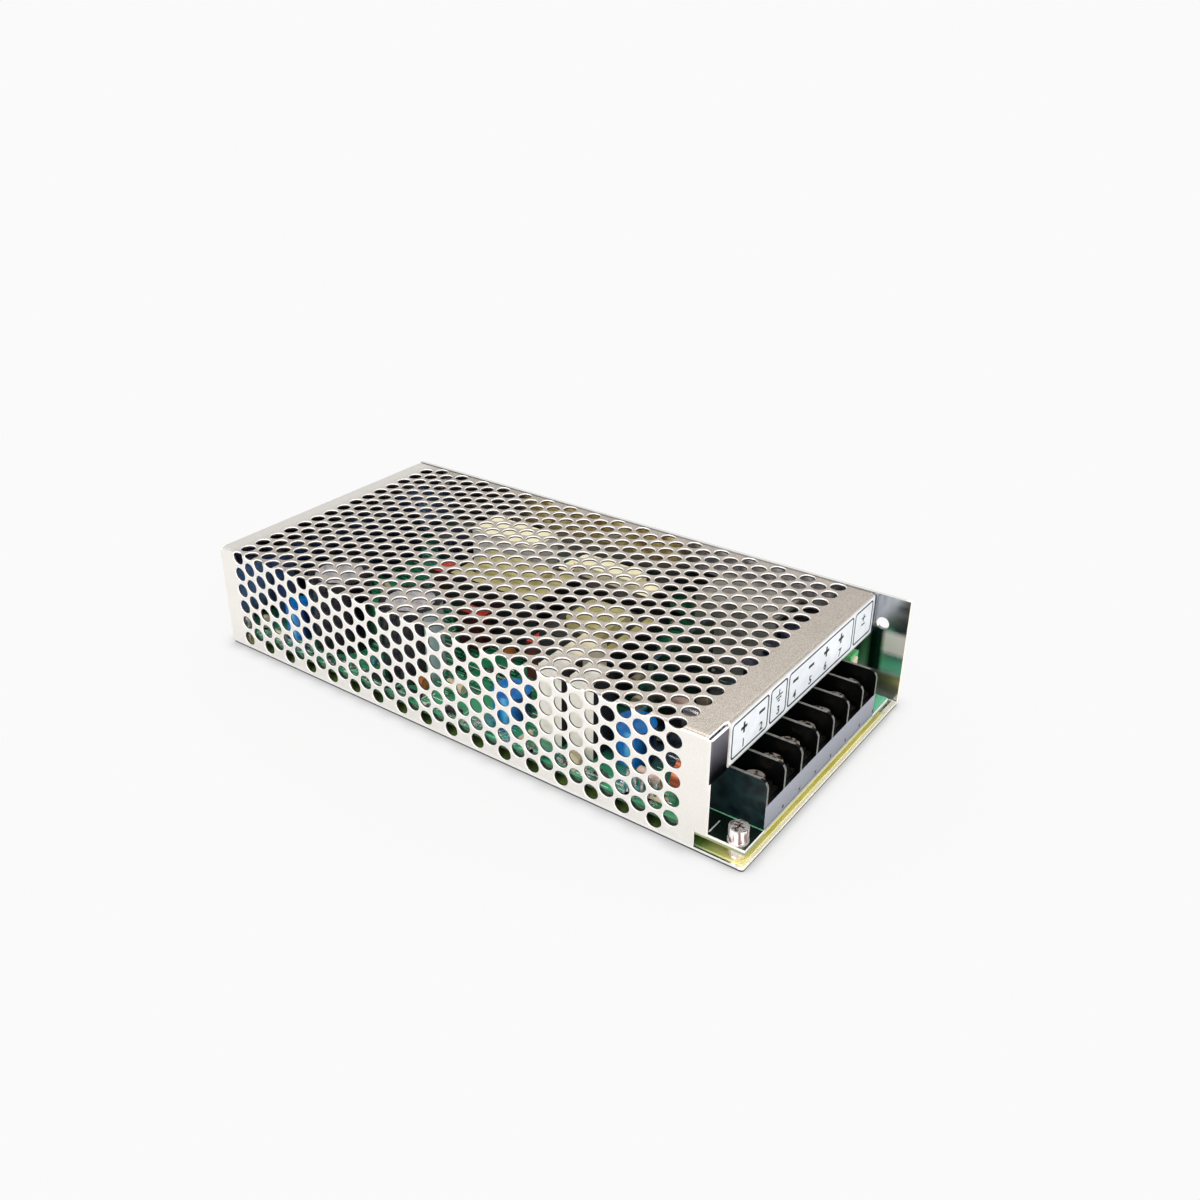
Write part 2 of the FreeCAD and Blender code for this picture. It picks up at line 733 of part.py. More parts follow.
def make_terminal_block():
    """The moulded block: a base with open-fronted ways between dividers."""
    body = doc.addObject("PartDesign::Body", "block_body")
    bottom = BOARD_TOP
    top = BOARD_TOP + " + divider_height"
    far = BLOCK_NEAR + " + divider_thick + way_pitch * %d" % WAYS
    outline = profile(body, "block_outline", "YZ_Plane", [
        (BLOCK_NEAR, bottom), (far, bottom), (far, top), (BLOCK_NEAR, top)])
    bind(outline, "AttachmentOffset.Base.z", BLOCK_FRONT + " - block_depth")
    doc.recompute()
    bar = body.newObject("PartDesign::Pad", "block_bar")
    bar.Profile = outline
    bind(bar, "Length", "block_depth")
    doc.recompute()
    rounding = body.newObject("PartDesign::Fillet", "block_rounding")
    corner = Vector(size("case_length") / 2 - size("block_setback"),
                    bar.Shape.BoundBox.Center.y, bar.Shape.BoundBox.ZMax)
    rounding.Base = (bar, [edge_at(bar.Shape, corner)])
    bind(rounding, "Radius", "divider_round")
    doc.recompute()
    mouth = profile(body, "way_outline", "YZ_Plane", [
        (BLOCK_NEAR + " + divider_thick", WAY_FLOOR),
        (BLOCK_NEAR + " + way_pitch", WAY_FLOOR),
        (BLOCK_NEAR + " + way_pitch", top + " + 1"),
        (BLOCK_NEAR + " + divider_thick", top + " + 1"),
    ])
    bind(mouth, "AttachmentOffset.Base.z", BLOCK_FRONT)
    doc.recompute()
    way = body.newObject("PartDesign::Pocket", "way_pocket")
    way.Profile = mouth
    bind(way, "Length", "block_depth - block_back")
    doc.recompute()
    ways = body.newObject("PartDesign::LinearPattern", "way_row")
    ways.Originals = [way]
    ways.Direction = (origin_axis(body, "Y_Axis"), [""])
    bind(ways, "Length", "way_pitch * %d" % (WAYS - 1))
    ways.Occurrences = WAYS
    body.Tip = ways
    cutters = []
    for index in range(WAYS):
        cutters.append(box("screw_well", TERMINAL_X + " - well_width / 2",
                           way_middle(index) + " - well_width / 2", WAY_FLOOR + " - well_depth",
                           "well_width", "well_width", "well_depth + 1"))
        cutters.append(tail_slot("block_tail_slot", index, "0", WAY_FLOOR + " + 1"))
    keep(cut("terminal_block", body, cutters), "terminal_block")


def origin_axis(body, role):
    return [axis for axis in body.Origin.OriginFeatures if axis.Role == role][0]


def make_contacts():
    """Bent contact strips with solder tails, one in each way."""
    strips = []
    for way in range(WAYS):
        middle = way_middle(way)
        strip = box("contact_strip", TAIL_X, middle + " - contact_width / 2", WAY_FLOOR,
                    BLOCK_FRONT + " - contact_front_gap - " + TAIL_X, "contact_width",
                    "contact_thick")
        tail = box("contact_tail", TAIL_X, middle + " - tail_width / 2",
                   BOARD_BOTTOM + " - tail_reach", "contact_thick", "tail_width",
                   WAY_FLOOR + " + contact_thick - (" + BOARD_BOTTOM + " - tail_reach)")
        bore = cylinder("contact_bore", TERMINAL_X, middle, "0", "screw_radius + screw_play",
                        "case_height")
        bent = fuse("contact_bent", [strip, tail])
        strips.append(cut("contact", bent, [bore]))
    keep(group("contacts", strips), "terminal_contacts")


def make_wire_clamp(way):
    """A square clamp plate that rises with its screw."""
    middle = way_middle(way)
    level = WAY_FLOOR + " + contact_thick + clamp_play"
    plate = box("clamp_plate", TERMINAL_X + " - clamp_width / 2", middle + " - clamp_width / 2",
                level, "clamp_width", "clamp_width", "clamp_thick")
    bore = cylinder("clamp_bore", TERMINAL_X, middle, "0", "screw_radius + 2 * screw_play",
                    "case_height")
    keep(cut("wire_clamp", plate, [bore]), "wire_clamp_%d" % (way + 1))


def make_terminal_screw(way):
    """A flat-topped screw turned in one piece, with a crossed recess."""
    body = turned_body("terminal_screw_body", [
        ("0", "-screw_length"),
        ("screw_radius", "-screw_length"),
        ("screw_radius", "0"),
        ("screw_head_radius", "0"),
        ("screw_head_radius", "screw_head_height"),
        ("0", "screw_head_height"),
    ])
    level = WAY_FLOOR + " + contact_thick + clamp_thick + 2 * clamp_play"
    place(body, TERMINAL_X, way_middle(way), level)
    slots = cross_slots(TERMINAL_X, way_middle(way), level + " + screw_head_height")
    keep(cut("terminal_screw", body, slots), "terminal_screw_%d" % (way + 1))


def make_lamp():
    """Indicator lamp: a domed lens with a rim, on two leads."""
    lamp_x = FRONT + " - lamp_setback"
    lamp_y = WALL_INSIDE + " - lamp_side_gap"
    rise = BOARD_TOP + " + lamp_lead_length"
    lens = turned_body("lamp_lens", [
        ("0", "0"),
        ("lamp_rim_radius", "0"),
        ("lamp_rim_radius", "lamp_rim_thick"),
        ("lamp_radius", "lamp_rim_thick"),
        ("lamp_radius", "lamp_height - lamp_radius * 0.6"),
        ("lamp_radius * 0.6", "lamp_height - lamp_radius * 0.15"),
        ("0", "lamp_height"),
    ])
    place(lens, lamp_x, lamp_y, rise)
    keep(lens, "power_lamp")
    leads = []
    for side in (-1, 1):
        leads.append(box("lamp_lead", lamp_x + " - lead_width / 2",
                         lamp_y + " + %d * lamp_radius * 0.8 - lead_width / 2" % side,
                         BOARD_TOP, "lead_width", "lead_width", "lamp_lead_length"))
    keep(group("lamp_leads", leads), "lamp_leads")


def make_trimmer():
    """Upright trimmer that sets the output, its rotor facing the terminal end."""
    front = FRONT + " - trimmer_setback"
    middle = WALL_INSIDE + " - trimmer_side_gap - trimmer_width / 2"
    rotor_level = BOARD_TOP + " + trimmer_height - trimmer_width / 2"
    housing = box("trimmer_housing", front + " - trimmer_depth",
                  middle + " - trimmer_width / 2", BOARD_TOP, "trimmer_depth",
                  "trimmer_width", "trimmer_height")
    seat = cylinder("trimmer_seat", front + " - rotor_depth - rotor_play", middle, rotor_level,
                    "rotor_radius + rotor_play", "rotor_depth + 1", "x")
    keep(cut("trimmer_body", housing, [seat]), "trimmer_body")
    disc = cylinder("rotor_disc", front + " - rotor_depth", middle, rotor_level,
                    "rotor_radius", "rotor_depth + rotor_proud", "x")
    slot = box("rotor_slot", front + " - rotor_proud / 2", middle + " - rotor_radius",
               rotor_level + " - lead_width / 2", "rotor_depth", "2 * rotor_radius", "lead_width")
    keep(cut("trimmer_rotor", disc, [slot]), "trimmer_rotor")


def make_wound_part(label, middle_x, middle_y, length, width, height):
    """A taped winding on a bobbin, inside two core halves that meet end to end."""
    base = BOARD_TOP
    bobbin = box(label + "_base", middle_x + " - " + length + " / 2 + core_leg / 2",
                 middle_y + " - " + width + " / 2", base, length + " - core_leg", width,
                 "bobbin_thick")
    keep(bobbin, label + "_bobbin")
    level = base + " + bobbin_thick"
    winding = box(label + "_coil", middle_x + " - " + length + " / 2 + core_leg + core_play",
                  middle_y + " - " + width + " / 2 + core_leg + core_play", level,
                  length + " - 2 * core_leg - 2 * core_play",
                  width + " - 2 * core_leg - 2 * core_play", height + " - bobbin_thick")
    doc.recompute()
    taped = doc.addObject("Part::Fillet", label + "_taped")
    taped.Base = winding
    bounds = winding.Shape.BoundBox
    corners = [Vector(x, y, bounds.Center.z)
               for x in (bounds.XMin, bounds.XMax) for y in (bounds.YMin, bounds.YMax)]
    radius = size("core_leg") / 2
    taped.Edges = [(int(edge_at(winding.Shape, point)[4:]), radius, radius) for point in corners]
    keep(taped, label + "_winding")
    halves = []
    drop = "core_share_drop"
    for side in (-1, 1):
        start = middle_x if side > 0 else middle_x + " - " + length + " / 2"
        block = box(label + "_half", start, middle_y + " - " + width + " / 2",
                    level, length + " / 2", width, height + " - bobbin_thick - " + drop)
        window = box(label + "_window", middle_x + " - " + length + " / 2 + core_leg",
                     middle_y + " - " + width + " / 2 + core_leg", "0",
                     length + " - 2 * core_leg", width + " - 2 * core_leg", "case_height")
        halves.append(cut(label + "_core_half", block, [window]))
    keep(group(label + "_halves", halves), label + "_core")


def make_round_capacitors():
    """Electrolytic capacitors that stand on the board."""
    bulk = []
    for index in range(2):
        bulk.append(cylinder("bulk_can", REAR + " + bulk_inset + (%s) * bulk_spread" % (index - 0.5),
                             NEAR + " + bulk_side_gap", BOARD_TOP, "bulk_radius", "bulk_height"))
    keep(group("bulk_cans", bulk), "bulk_capacitors")
    blue = [
        cylinder("small_can", REAR + " + small_can_inset", NEAR + " + small_can_side_gap",
                 BOARD_TOP, "small_can_radius", "small_can_height"),
        cylinder("middle_can", FRONT + " - middle_can_setback", NEAR + " + middle_can_side_gap",
                 BOARD_TOP, "middle_can_radius", "middle_can_height"),
        cylinder("front_can", FRONT + " - front_can_setback", NEAR + " + front_can_side_gap",
                 BOARD_TOP, "front_can_radius", "front_can_height"),
    ]
    keep(group("blue_cans", blue), "blue_capacitors")
    rear = cylinder("rear_can", REAR + " + rear_can_inset", NEAR + " + rear_can_side_gap",
                    BOARD_TOP, "rear_can_radius", "rear_can_height")
    keep(rear, "input_capacitor")
    output = []
    for index in range(3):
        output.append(cylinder("output_can", FRONT + " - output_can_setback",
                               WALL_INSIDE + " - output_can_far_gap - output_can_radius"
                               + " - output_can_pitch * %d" % index, BOARD_TOP,
                               "output_can_radius", "output_can_height"))
    keep(group("output_cans", output), "output_capacitors")


def make_toroid():
    """A copper wound ring standing on edge."""
    level = BOARD_TOP + " + toroid_radius + toroid_lift"
    start = FRONT + " - toroid_setback"
    side = NEAR + " + toroid_side_gap"
    ring = cylinder("toroid_ring", start, side, level, "toroid_radius", "toroid_thick", "x")
    bore = cylinder("toroid_hole", start + " - 1", side, level, "toroid_bore",
                    "toroid_thick + 2", "x")
    foot = box("toroid_foot", start, side + " - toroid_bore", BOARD_TOP, "toroid_thick",
               "2 * toroid_bore", "toroid_lift + toroid_radius - toroid_bore")
    ring_cut = cut("toroid_wound", ring, [bore])
    keep(cut("toroid_seat", foot, [ring]), "toroid_holder")
    keep(ring_cut, "toroid_coil")


def make_box_parts():
    """Plain moulded parts: cement resistors, relay, film capacitors."""
    resistors = []
    for index in range(2):
        resistors.append(box("cement_block",
                             FRONT + " - resistor_setback - resistor_length / 2"
                             + " + %d * resistor_pitch" % index,
                             NEAR + " + resistor_side_gap", BOARD_TOP, "resistor_length",
                             "resistor_width", "resistor_height"))
    keep(group("cement_blocks", resistors), "cement_resistors")
    relay = box("relay_case", REAR + " + relay_inset - relay_length / 2",
                WALL_INSIDE + " - relay_far_gap - relay_width / 2", BOARD_TOP,
                "relay_length", "relay_width", "relay_height")
    keep(relay, "relay")
    rear_x = REAR + " + transformer_inset - 4 * film_thick"
    near_y = NEAR + " + transformer_side_gap - film_thick - bobbin_thick"
    gap_x = FRONT + " - transformer_setback + 3 * bobbin_thick"
    films = [
        box("film_rear", rear_x, "film_length / 2", BOARD_TOP, "film_thick", "film_length",
            "film_height"),
        box("film_side", TRANSFORMER_X + " - film_length", near_y, BOARD_TOP, "film_length",
            "film_thick", "film_height"),
        box("film_middle", gap_x, "-film_length * 1.5", BOARD_TOP, "film_thick", "film_length",
            "film_height"),
    ]
    keep(group("films", films), "film_capacitors")


def make_rear_heatsink():
    """A black finned heatsink across the rear end."""
    start = REAR + " + heatsink_inset"
    plate = box("heatsink_web", start, "-heatsink_near", BOARD_TOP, "heatsink_plate",
                "heatsink_near + heatsink_far", "heatsink_height")
    pieces = [plate]
    span = size("heatsink_near") + size("heatsink_far") - size("fin_thick")
    fins = int(span / size("fin_pitch") + 1e-6) + 1
    for index in range(fins):
        pieces.append(box("heatsink_fin", start + " + heatsink_plate",
                          "-heatsink_near + fin_pitch * %d" % index, BOARD_TOP,
                          "heatsink_depth - heatsink_plate", "fin_thick", "heatsink_height"))
    keep(fuse("heatsink", pieces), "rear_heatsink")


def make_heat_spreader():
    """An aluminium strip bent over the output side."""
    start = FRONT + " - spreader_setback"
    leg_y = WALL_INSIDE + " - cover_thick - cover_gap - spreader_width"
    top = BOARD_TOP + " + spreader_height"
    leg = box("spreader_leg", start, leg_y, BOARD_TOP, "spreader_length",
              "spreader_thick", "spreader_height")
    plate = box("spreader_plate", start, leg_y, top + " - spreader_thick",
                "spreader_length", "spreader_width - cover_screw_length + chassis_thick",
                "spreader_thick")
    keep(fuse("spreader", [leg, plate]), "heat_spreader")


def make_wall_transistors():
    """Transistors pressed on pads against the far wall by a spring bar."""
    bodies = []
    pads = []
    face = WALL_INSIDE + " - pad_thick"
    level = BOARD_TOP + " + transistor_lift"
    tall = "(case_height - lip_drop - transistor_lip_gap - (" + level + "))"
    row_start = REAR + " + transistor_inset - transistor_width / 2"
    for index in range(3):
        start = row_start + " + transistor_pitch * %d" % index
        case = box("transistor_case", start, face + " - transistor_thick", level,
                   "transistor_width", "transistor_thick", tall)
        leads = [case]
        for side in (-1, 0, 1):
            leads.append(box("transistor_lead", start + " + transistor_width / 2 - lead_width / 2"
                             + " + lead_pitch * %d" % side, face + " - transistor_thick / 2",
                             BOARD_TOP, "lead_width", "lead_width", "transistor_lift"))
        bodies.append(fuse("transistor", leads))
        pads.append(box("pad", start, face, level, "transistor_width", "pad_thick", tall))
    keep(group("transistors", bodies), "power_transistors")
    keep(group("pads", pads), "thermal_pads")
    bar = box("spring_bar", row_start, face + " - transistor_thick - bar_thick",
              level + " + " + tall + " / 2 - bar_height / 2",
              "transistor_width + 2 * transistor_pitch", "bar_thick", "bar_height")
    keep(bar, "clamp_bar")


def make_control_board():
    """A small board standing upright, with its controller chip."""
    start = FRONT + " - control_setback"
    plate = box("control_plate", start, "-control_near", BOARD_TOP, "board_thick",
                "control_width", "control_height")
    keep(plate, "control_board")
    chip = box("control_chip_case", start + " + board_thick",
               "-control_near + control_width / 2 - chip_length / 2",
               BOARD_TOP + " + control_height / 2", "chip_thick", "chip_length", "chip_width")
    keep(chip, "control_chip")


def make_fuse():
    """A glass fuse lying in two clips."""
    start = FRONT + " - fuse_setback - fuse_length / 2"
    axis_y = WALL_INSIDE + " - fuse_far_gap"
    level = BOARD_TOP + " + clip_lift + clip_thick + fuse_radius"
    glass = cylinder("fuse_glass_tube", start + " + fuse_cap_length", axis_y, level,
                     "fuse_radius - clip_thick / 2", "fuse_length - 2 * fuse_cap_length", "x")
    keep(glass, "fuse_glass")
    caps = []
    clips = []
    for end in (0, 1):
        cap_x = start + " + %d * (fuse_length - fuse_cap_length)" % end
        cap = cylinder("fuse_cap", cap_x, axis_y, level, "fuse_radius", "fuse_cap_length", "x")
        caps.append(cap)
        block = box("clip_block", cap_x, axis_y + " - fuse_radius - clip_thick", BOARD_TOP,
                    "fuse_cap_length", "2 * fuse_radius + 2 * clip_thick",
                    "clip_lift + clip_thick + fuse_radius")
        clips.append(cut("clip", block, [cap]))
    keep(group("caps", caps), "fuse_caps")
    keep(group("clips", clips), "fuse_clips")


make_chassis()
make_cover()
make_label()
make_cover_screws()
make_insulation()
make_board()
make_board_fasteners()
make_terminal_block()
make_contacts()
for number in range(WAYS):
    make_wire_clamp(number)
    make_terminal_screw(number)
make_lamp()
make_trimmer()
make_wound_part("transformer", TRANSFORMER_X, TRANSFORMER_Y, TRANSFORMER_LENGTH,
                TRANSFORMER_WIDTH, "transformer_height")
make_wound_part("output_choke", FRONT + " - choke_setback", "-choke_near", "choke_length",
                "choke_width", "choke_height")
make_wound_part("filter_choke", "(filter_inset - filter_setback) / 2",
                WALL_INSIDE + " - filter_far_gap",
                "(case_length - filter_inset - filter_setback)", "filter_width",
                "filter_height")
make_round_capacitors()
make_toroid()
make_box_parts()
make_rear_heatsink()
make_heat_spreader()
make_wall_transistors()
make_control_board()
make_fuse()
doc.recompute()

for item in doc.Objects:
    if "Invalid" in item.State or "Error" in item.State:
        raise RuntimeError("object %s is in state %s" % (item.Name, item.State))
for item in PARTS:
    if item.Shape.isNull() or not item.Shape.isValid():
        raise RuntimeError("sub-part %s has no valid shape" % item.Label)

os.makedirs("parts", exist_ok=True)
for item in PARTS:
    item.Shape.exportStep("parts/%s.step" % item.Label)
    print("%-22s solids %d" % (item.Label, len(item.Shape.Solids)))
print("sub-parts", len(PARTS))
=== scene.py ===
import math
import random

import bpy
from mathutils import Matrix, Vector
from mathutils.bvhtree import BVHTree


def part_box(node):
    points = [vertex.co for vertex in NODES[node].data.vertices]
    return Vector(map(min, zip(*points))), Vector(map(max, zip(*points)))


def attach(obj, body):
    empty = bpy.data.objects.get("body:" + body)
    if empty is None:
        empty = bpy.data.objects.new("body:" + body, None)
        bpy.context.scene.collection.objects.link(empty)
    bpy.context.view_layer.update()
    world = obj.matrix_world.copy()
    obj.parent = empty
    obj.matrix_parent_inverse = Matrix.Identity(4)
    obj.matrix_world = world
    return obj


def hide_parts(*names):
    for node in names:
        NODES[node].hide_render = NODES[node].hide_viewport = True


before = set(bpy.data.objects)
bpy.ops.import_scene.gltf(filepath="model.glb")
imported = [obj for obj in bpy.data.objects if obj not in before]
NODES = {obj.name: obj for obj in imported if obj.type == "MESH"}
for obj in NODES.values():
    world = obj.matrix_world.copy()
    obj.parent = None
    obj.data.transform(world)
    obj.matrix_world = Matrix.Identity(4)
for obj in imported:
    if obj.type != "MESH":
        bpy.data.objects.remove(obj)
MM = 0.001
X, Y, Z = 0, 1, 2
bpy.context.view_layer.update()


def box_mm(node):
    """Lowest and highest corner of a node of the frame, in millimetres."""
    low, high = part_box(node)
    return low / MM, high / MM


# Places and sizes that the looks and the scene's own pieces share, in millimetres

BOARD_LOW, BOARD_HIGH = box_mm("circuit_board")
COVER_LOW, COVER_HIGH = box_mm("mesh_cover")
BLOCK_LOW, BLOCK_HIGH = box_mm("terminal_block")
CHASSIS_SHEET = 1.2
TAB_WIDTH = 8.5
TAB_EDGE = COVER_LOW.y + TAB_WIDTH
CONTACT_THICK = 0.8
WAY_FLOOR = box_mm("terminal_contacts")[1].z - CONTACT_THICK

# Node helpers

# Ends between which noise is spread over its whole range
NOISE_LOW, NOISE_HIGH = 0.3, 0.7
# A face is square to an axis where its normal reaches this far along it; a rounded one, less
SQUARE = 0.7
ROUNDED = 0.5
PAINT = {}


def srgb(red, green, blue):
    """A colour given as 0 to 255, as linear RGBA."""
    def linear(value):
        value = value / 255
        return value / 12.92 if value <= 0.04045 else ((value + 0.055) / 1.055) ** 2.4
    return (linear(red), linear(green), linear(blue), 1.0)


class Nodes:
    """A node tree in the making, with short forms of the nodes that it uses."""

    def __init__(self, owner):
        owner.use_nodes = True
        self.tree = owner.node_tree
        self.tree.nodes.clear()

    def feed(self, socket, value):
        """Link another node's output to an input, or set the input to a value."""
        if isinstance(value, bpy.types.NodeSocket):
            self.tree.links.new(value, socket)
        else:
            socket.default_value = value

    def add(self, kind, inputs=None, **props):
        """The outputs of a new shader node with these properties and inputs."""
        node = self.tree.nodes.new("ShaderNode" + kind)
        for key, value in props.items():
            setattr(node, key, value)
        for key, value in (inputs or {}).items():
            self.feed(node.inputs[key], value)
        return node.outputs

    def ramp(self, value, low, high, to_low=0.0, to_high=1.0):
        """A value spread from one range to another, and held at its ends."""
        ends = {"From Min": low, "From Max": high, "To Min": to_low, "To Max": to_high}
        return self.add("MapRange", {"Value": value, **ends})[0]

    def math(self, operation, first, second=0.0):
        """The result of one sum on values or sockets."""
        return self.add("Math", {0: first, 1: second}, operation=operation)[0]


class Look(Nodes):
    """A principled material in the making."""

    def __init__(self, name):
        PAINT[name] = bpy.data.materials.new(name)
        super().__init__(PAINT[name])
        self.shader = self.tree.nodes.new("ShaderNodeBsdfPrincipled")
        self.add("OutputMaterial", {"Surface": self.shader.outputs[0]})

    def set(self, **inputs):
        """Feed the shader's inputs, named with _ for each space."""
        for key, value in inputs.items():
            self.feed(self.shader.inputs[key.replace("_", " ")], value)

    def place(self, stretch=(1, 1, 1)):
        """Position on the piece in millimetres, stretched along each axis."""
        scale = tuple(1 / MM * value for value in stretch)
        position = self.add("TexCoord")["Object"]
        return self.add("Mapping", {"Vector": position, "Scale": scale})[0]

    def along(self, axis):
        """Position along an axis, in millimetres."""
        return self.add("SeparateXYZ", {"Vector": self.place()})[axis]

    def normal(self, axis):
        """How far the surface faces along an axis of the piece, -1 to 1."""
        return self.add("SeparateXYZ", {"Vector": self.add("TexCoord")["Normal"]})[axis]

    def window(self, value, low, high, soft):
        """One between two ends and zero outside them, with soft ends."""
        return self.times(self.ramp(value, low, low + soft), self.ramp(value, high, high - soft))

    def times(self, first, second):
        return self.math("MULTIPLY", first, second)

    def most(self, first, second):
        return self.math("MAXIMUM", first, second)

    def rest_of(self, value):
        """What is left of one."""
        return self.math("SUBTRACT", 1.0, value)

    def above(self, value, limit):
        return self.math("GREATER_THAN", value, limit)

    def below(self, value, limit):
        return self.math("LESS_THAN", value, limit)

    def faces(self, axis, sign=1, least=SQUARE):
        """One where the surface faces along an axis, or against it for sign -1."""
        if sign > 0:
            return self.above(self.normal(axis), least)
        return self.below(self.normal(axis), -least)

    def noise(self, scale, stretch=(1, 1, 1), detail=3.0):
        inputs = {"Vector": self.place(stretch), "Scale": scale, "Detail": detail}
        return self.add("TexNoise", inputs)[0]

    def cloud(self, scale, low=NOISE_LOW, high=NOISE_HIGH, stretch=(1, 1, 1), detail=3.0):
        """Noise from zero to one."""
        return self.ramp(self.noise(scale, stretch, detail), low, high)

    def mix(self, factor, first, second):
        """A colour between two; three numbers are a colour given as 0 to 255."""
        first, second = (srgb(*end) if isinstance(end, tuple) and len(end) == 3 else end
                         for end in (first, second))
        inputs = {0: factor, 6: first, 7: second}
        return self.add("Mix", inputs, data_type="RGBA")[2]

    def coat(self, colour, scale, low, high, stretch=(1, 1, 1), **more):
        """A colour, and roughness that wanders between two values."""
        wander = self.noise(scale, stretch)
        rough = self.ramp(wander, NOISE_LOW, NOISE_HIGH, low, high)
        self.set(Base_Color=colour, Roughness=rough, **more)

    def emboss(self, height, strength, depth):
        """Bumps after a height, so many millimetres deep."""
        inputs = {"Height": height, "Strength": strength, "Distance": depth * MM}
        self.set(Normal=self.add("Bump", inputs)[0])


# Materials with a look of their own; what bright metal mirrors is painted by its place

def plated_steel():
    """The cover's zinc-plated sheet: a fine grey speckle, painted light and shade on its top and side,
    and a painted reflection on its corner tab.
    """
    look = Look("plated_steel")
    z = look.along(Z)
    speckle = look.cloud(3.2, 0.35, 0.68, detail=4.0)
    # Painted light and shade: the top gets a darker, browner colour and the side a lighter one, for
    # how the lamps fall on them
    up = look.ramp(look.normal(Z), 0.3, 0.9)
    shaded_top = look.mix(speckle, (148, 139, 130), (214, 206, 197))
    lit_side = look.mix(speckle, (218, 215, 210), (230, 227, 222))
    sheet = look.mix(look.times(look.cloud(0.12), 0.12), look.mix(up, lit_side, shaded_top), (205, 200, 192))
    # Painted light: the top is made lighter toward the rear end
    rear = look.times(up, look.ramp(look.along(X), -86.0, -95.0, 0.0, 0.7))
    sheet = look.mix(rear, sheet, (244, 243, 240))
    # Painted reflection: the forward-facing corner tab gets a near-black colour, lighter toward its
    # top, for the dark surroundings it mirrors
    tab = look.times(look.faces(X), look.below(look.along(Y), TAB_EDGE + 0.1))
    painted_reflection = look.mix(look.ramp(z, 24.0, 34.0), (2, 3, 7), (110, 106, 118))
    gloss = look.times(tab, look.ramp(z, 33.0, 26.0))
    look.set(Base_Color=look.mix(tab, sheet, painted_reflection), Metallic=0.55,
             Roughness=look.ramp(speckle, 0, 1, 0.3, 0.46),
             Specular_IOR_Level=look.ramp(gloss, 0.0, 1.0, 0.5, 0.05))
    look.emboss(speckle, 0.25, 0.01)


def plated_inside():
    """The inner face of the cover, with painted reflections on its lip and its rear end."""
    look = Look("plated_inside")
    cloud = look.cloud(0.4)
    lip = look.faces(Y, -1)
    # Painted reflections: tape colours and pale parts on the inner face of the lip, blue on the inner
    # face of the rear end; the sheet is made less metallic where these are painted
    amber = look.times(lip, look.window(look.along(X), -50.0, 26.0, 8.0))
    pale = look.times(lip, look.window(look.along(X), 22.0, 78.0, 8.0))
    slate = look.times(look.faces(X), look.window(look.along(Z), 7.0, 28.5, 4.0))
    tape = look.mix(look.cloud(0.25, 0.35, 0.65), (150, 112, 60), (238, 220, 146))
    sheet = look.mix(amber, look.mix(cloud, (92, 94, 100), (122, 124, 130)), tape)
    sheet = look.mix(pale, sheet, look.mix(cloud, (112, 108, 120), (206, 200, 196)))
    sheet = look.mix(slate, sheet, look.mix(cloud, (88, 128, 176), (128, 164, 206)))
    dull = look.most(look.most(amber, pale), slate)
    look.coat(sheet, 2.0, 0.25, 0.4, Metallic=look.ramp(dull, 0.0, 1.0, 1.0, 0.1))


def folded_aluminium():
    """The chassis sheet: a soft mirror with painted reflections and shade on the inner face of its
    wall, and painted highlights on its cut edges that turn to painted shade at the foot.
    """
    look = Look("folded_aluminium")
    x = look.along(X)
    z = look.along(Z)
    cloud = look.cloud(0.05, stretch=(0.3, 1, 1))
    inside = look.faces(Y, -1)
    # Painted shade and reflections on the inner face of the wall: shade above, then a dark band, a
    # pale patch and tape colours, with less metal where patch and tape are painted
    shade = look.times(look.ramp(x, 95.0, 90.0), look.ramp(z, 14.0, 24.0, 0.0, 0.42))
    band = look.times(look.window(x, 87.6, 93.4, 1.4), look.window(z, 9.0, 26.0, 1.5))
    patch = look.times(look.window(x, 91.8, 101.0, 1.6), look.window(z, 16.0, 25.2, 2.0))
    patch = look.times(look.times(inside, patch), 0.75)
    amber = look.times(look.window(x, -62.0, 24.0, 14.0), look.window(z, 19.0, 34.8, 8.0))
    amber = look.times(inside, amber)
    sheet = look.mix(cloud, (206, 209, 212), (232, 234, 236))
    sheet = look.mix(look.times(inside, shade), sheet, (44, 52, 74))
    sheet = look.mix(look.times(inside, band), sheet, (30, 48, 50))
    sheet = look.mix(patch, sheet, (186, 180, 166))
    sheet = look.mix(amber, sheet, look.mix(cloud, (150, 118, 62), (226, 204, 124)))
    # Painted highlight on the cut edges, not metal: warm white where they face forward or stand at the
    # front, pale grey elsewhere; painted shade on the edges below about half a millimetre
    forward = look.faces(X)
    outer = look.above(x, 98.0)
    foot = look.most(look.times(inside, look.below(z, CHASSIS_SHEET)),
                     look.times(outer, look.below(z, CHASSIS_SHEET + 0.1)))
    crest = look.times(look.faces(Z), look.above(z, COVER_HIGH.z - 0.1))
    cut = look.most(look.most(forward, foot), crest)
    edge_highlight = look.mix(look.most(forward, outer), (206, 206, 204), (240, 236, 218))
    edge = look.mix(look.ramp(z, 0.4, 0.6), (56, 56, 54), edge_highlight)
    bright = look.times(look.rest_of(cut), look.rest_of(look.most(patch, amber)))
    look.coat(look.mix(cut, sheet, edge), 0.4, 0.16, 0.26, (0.2, 1, 1), Metallic=bright)


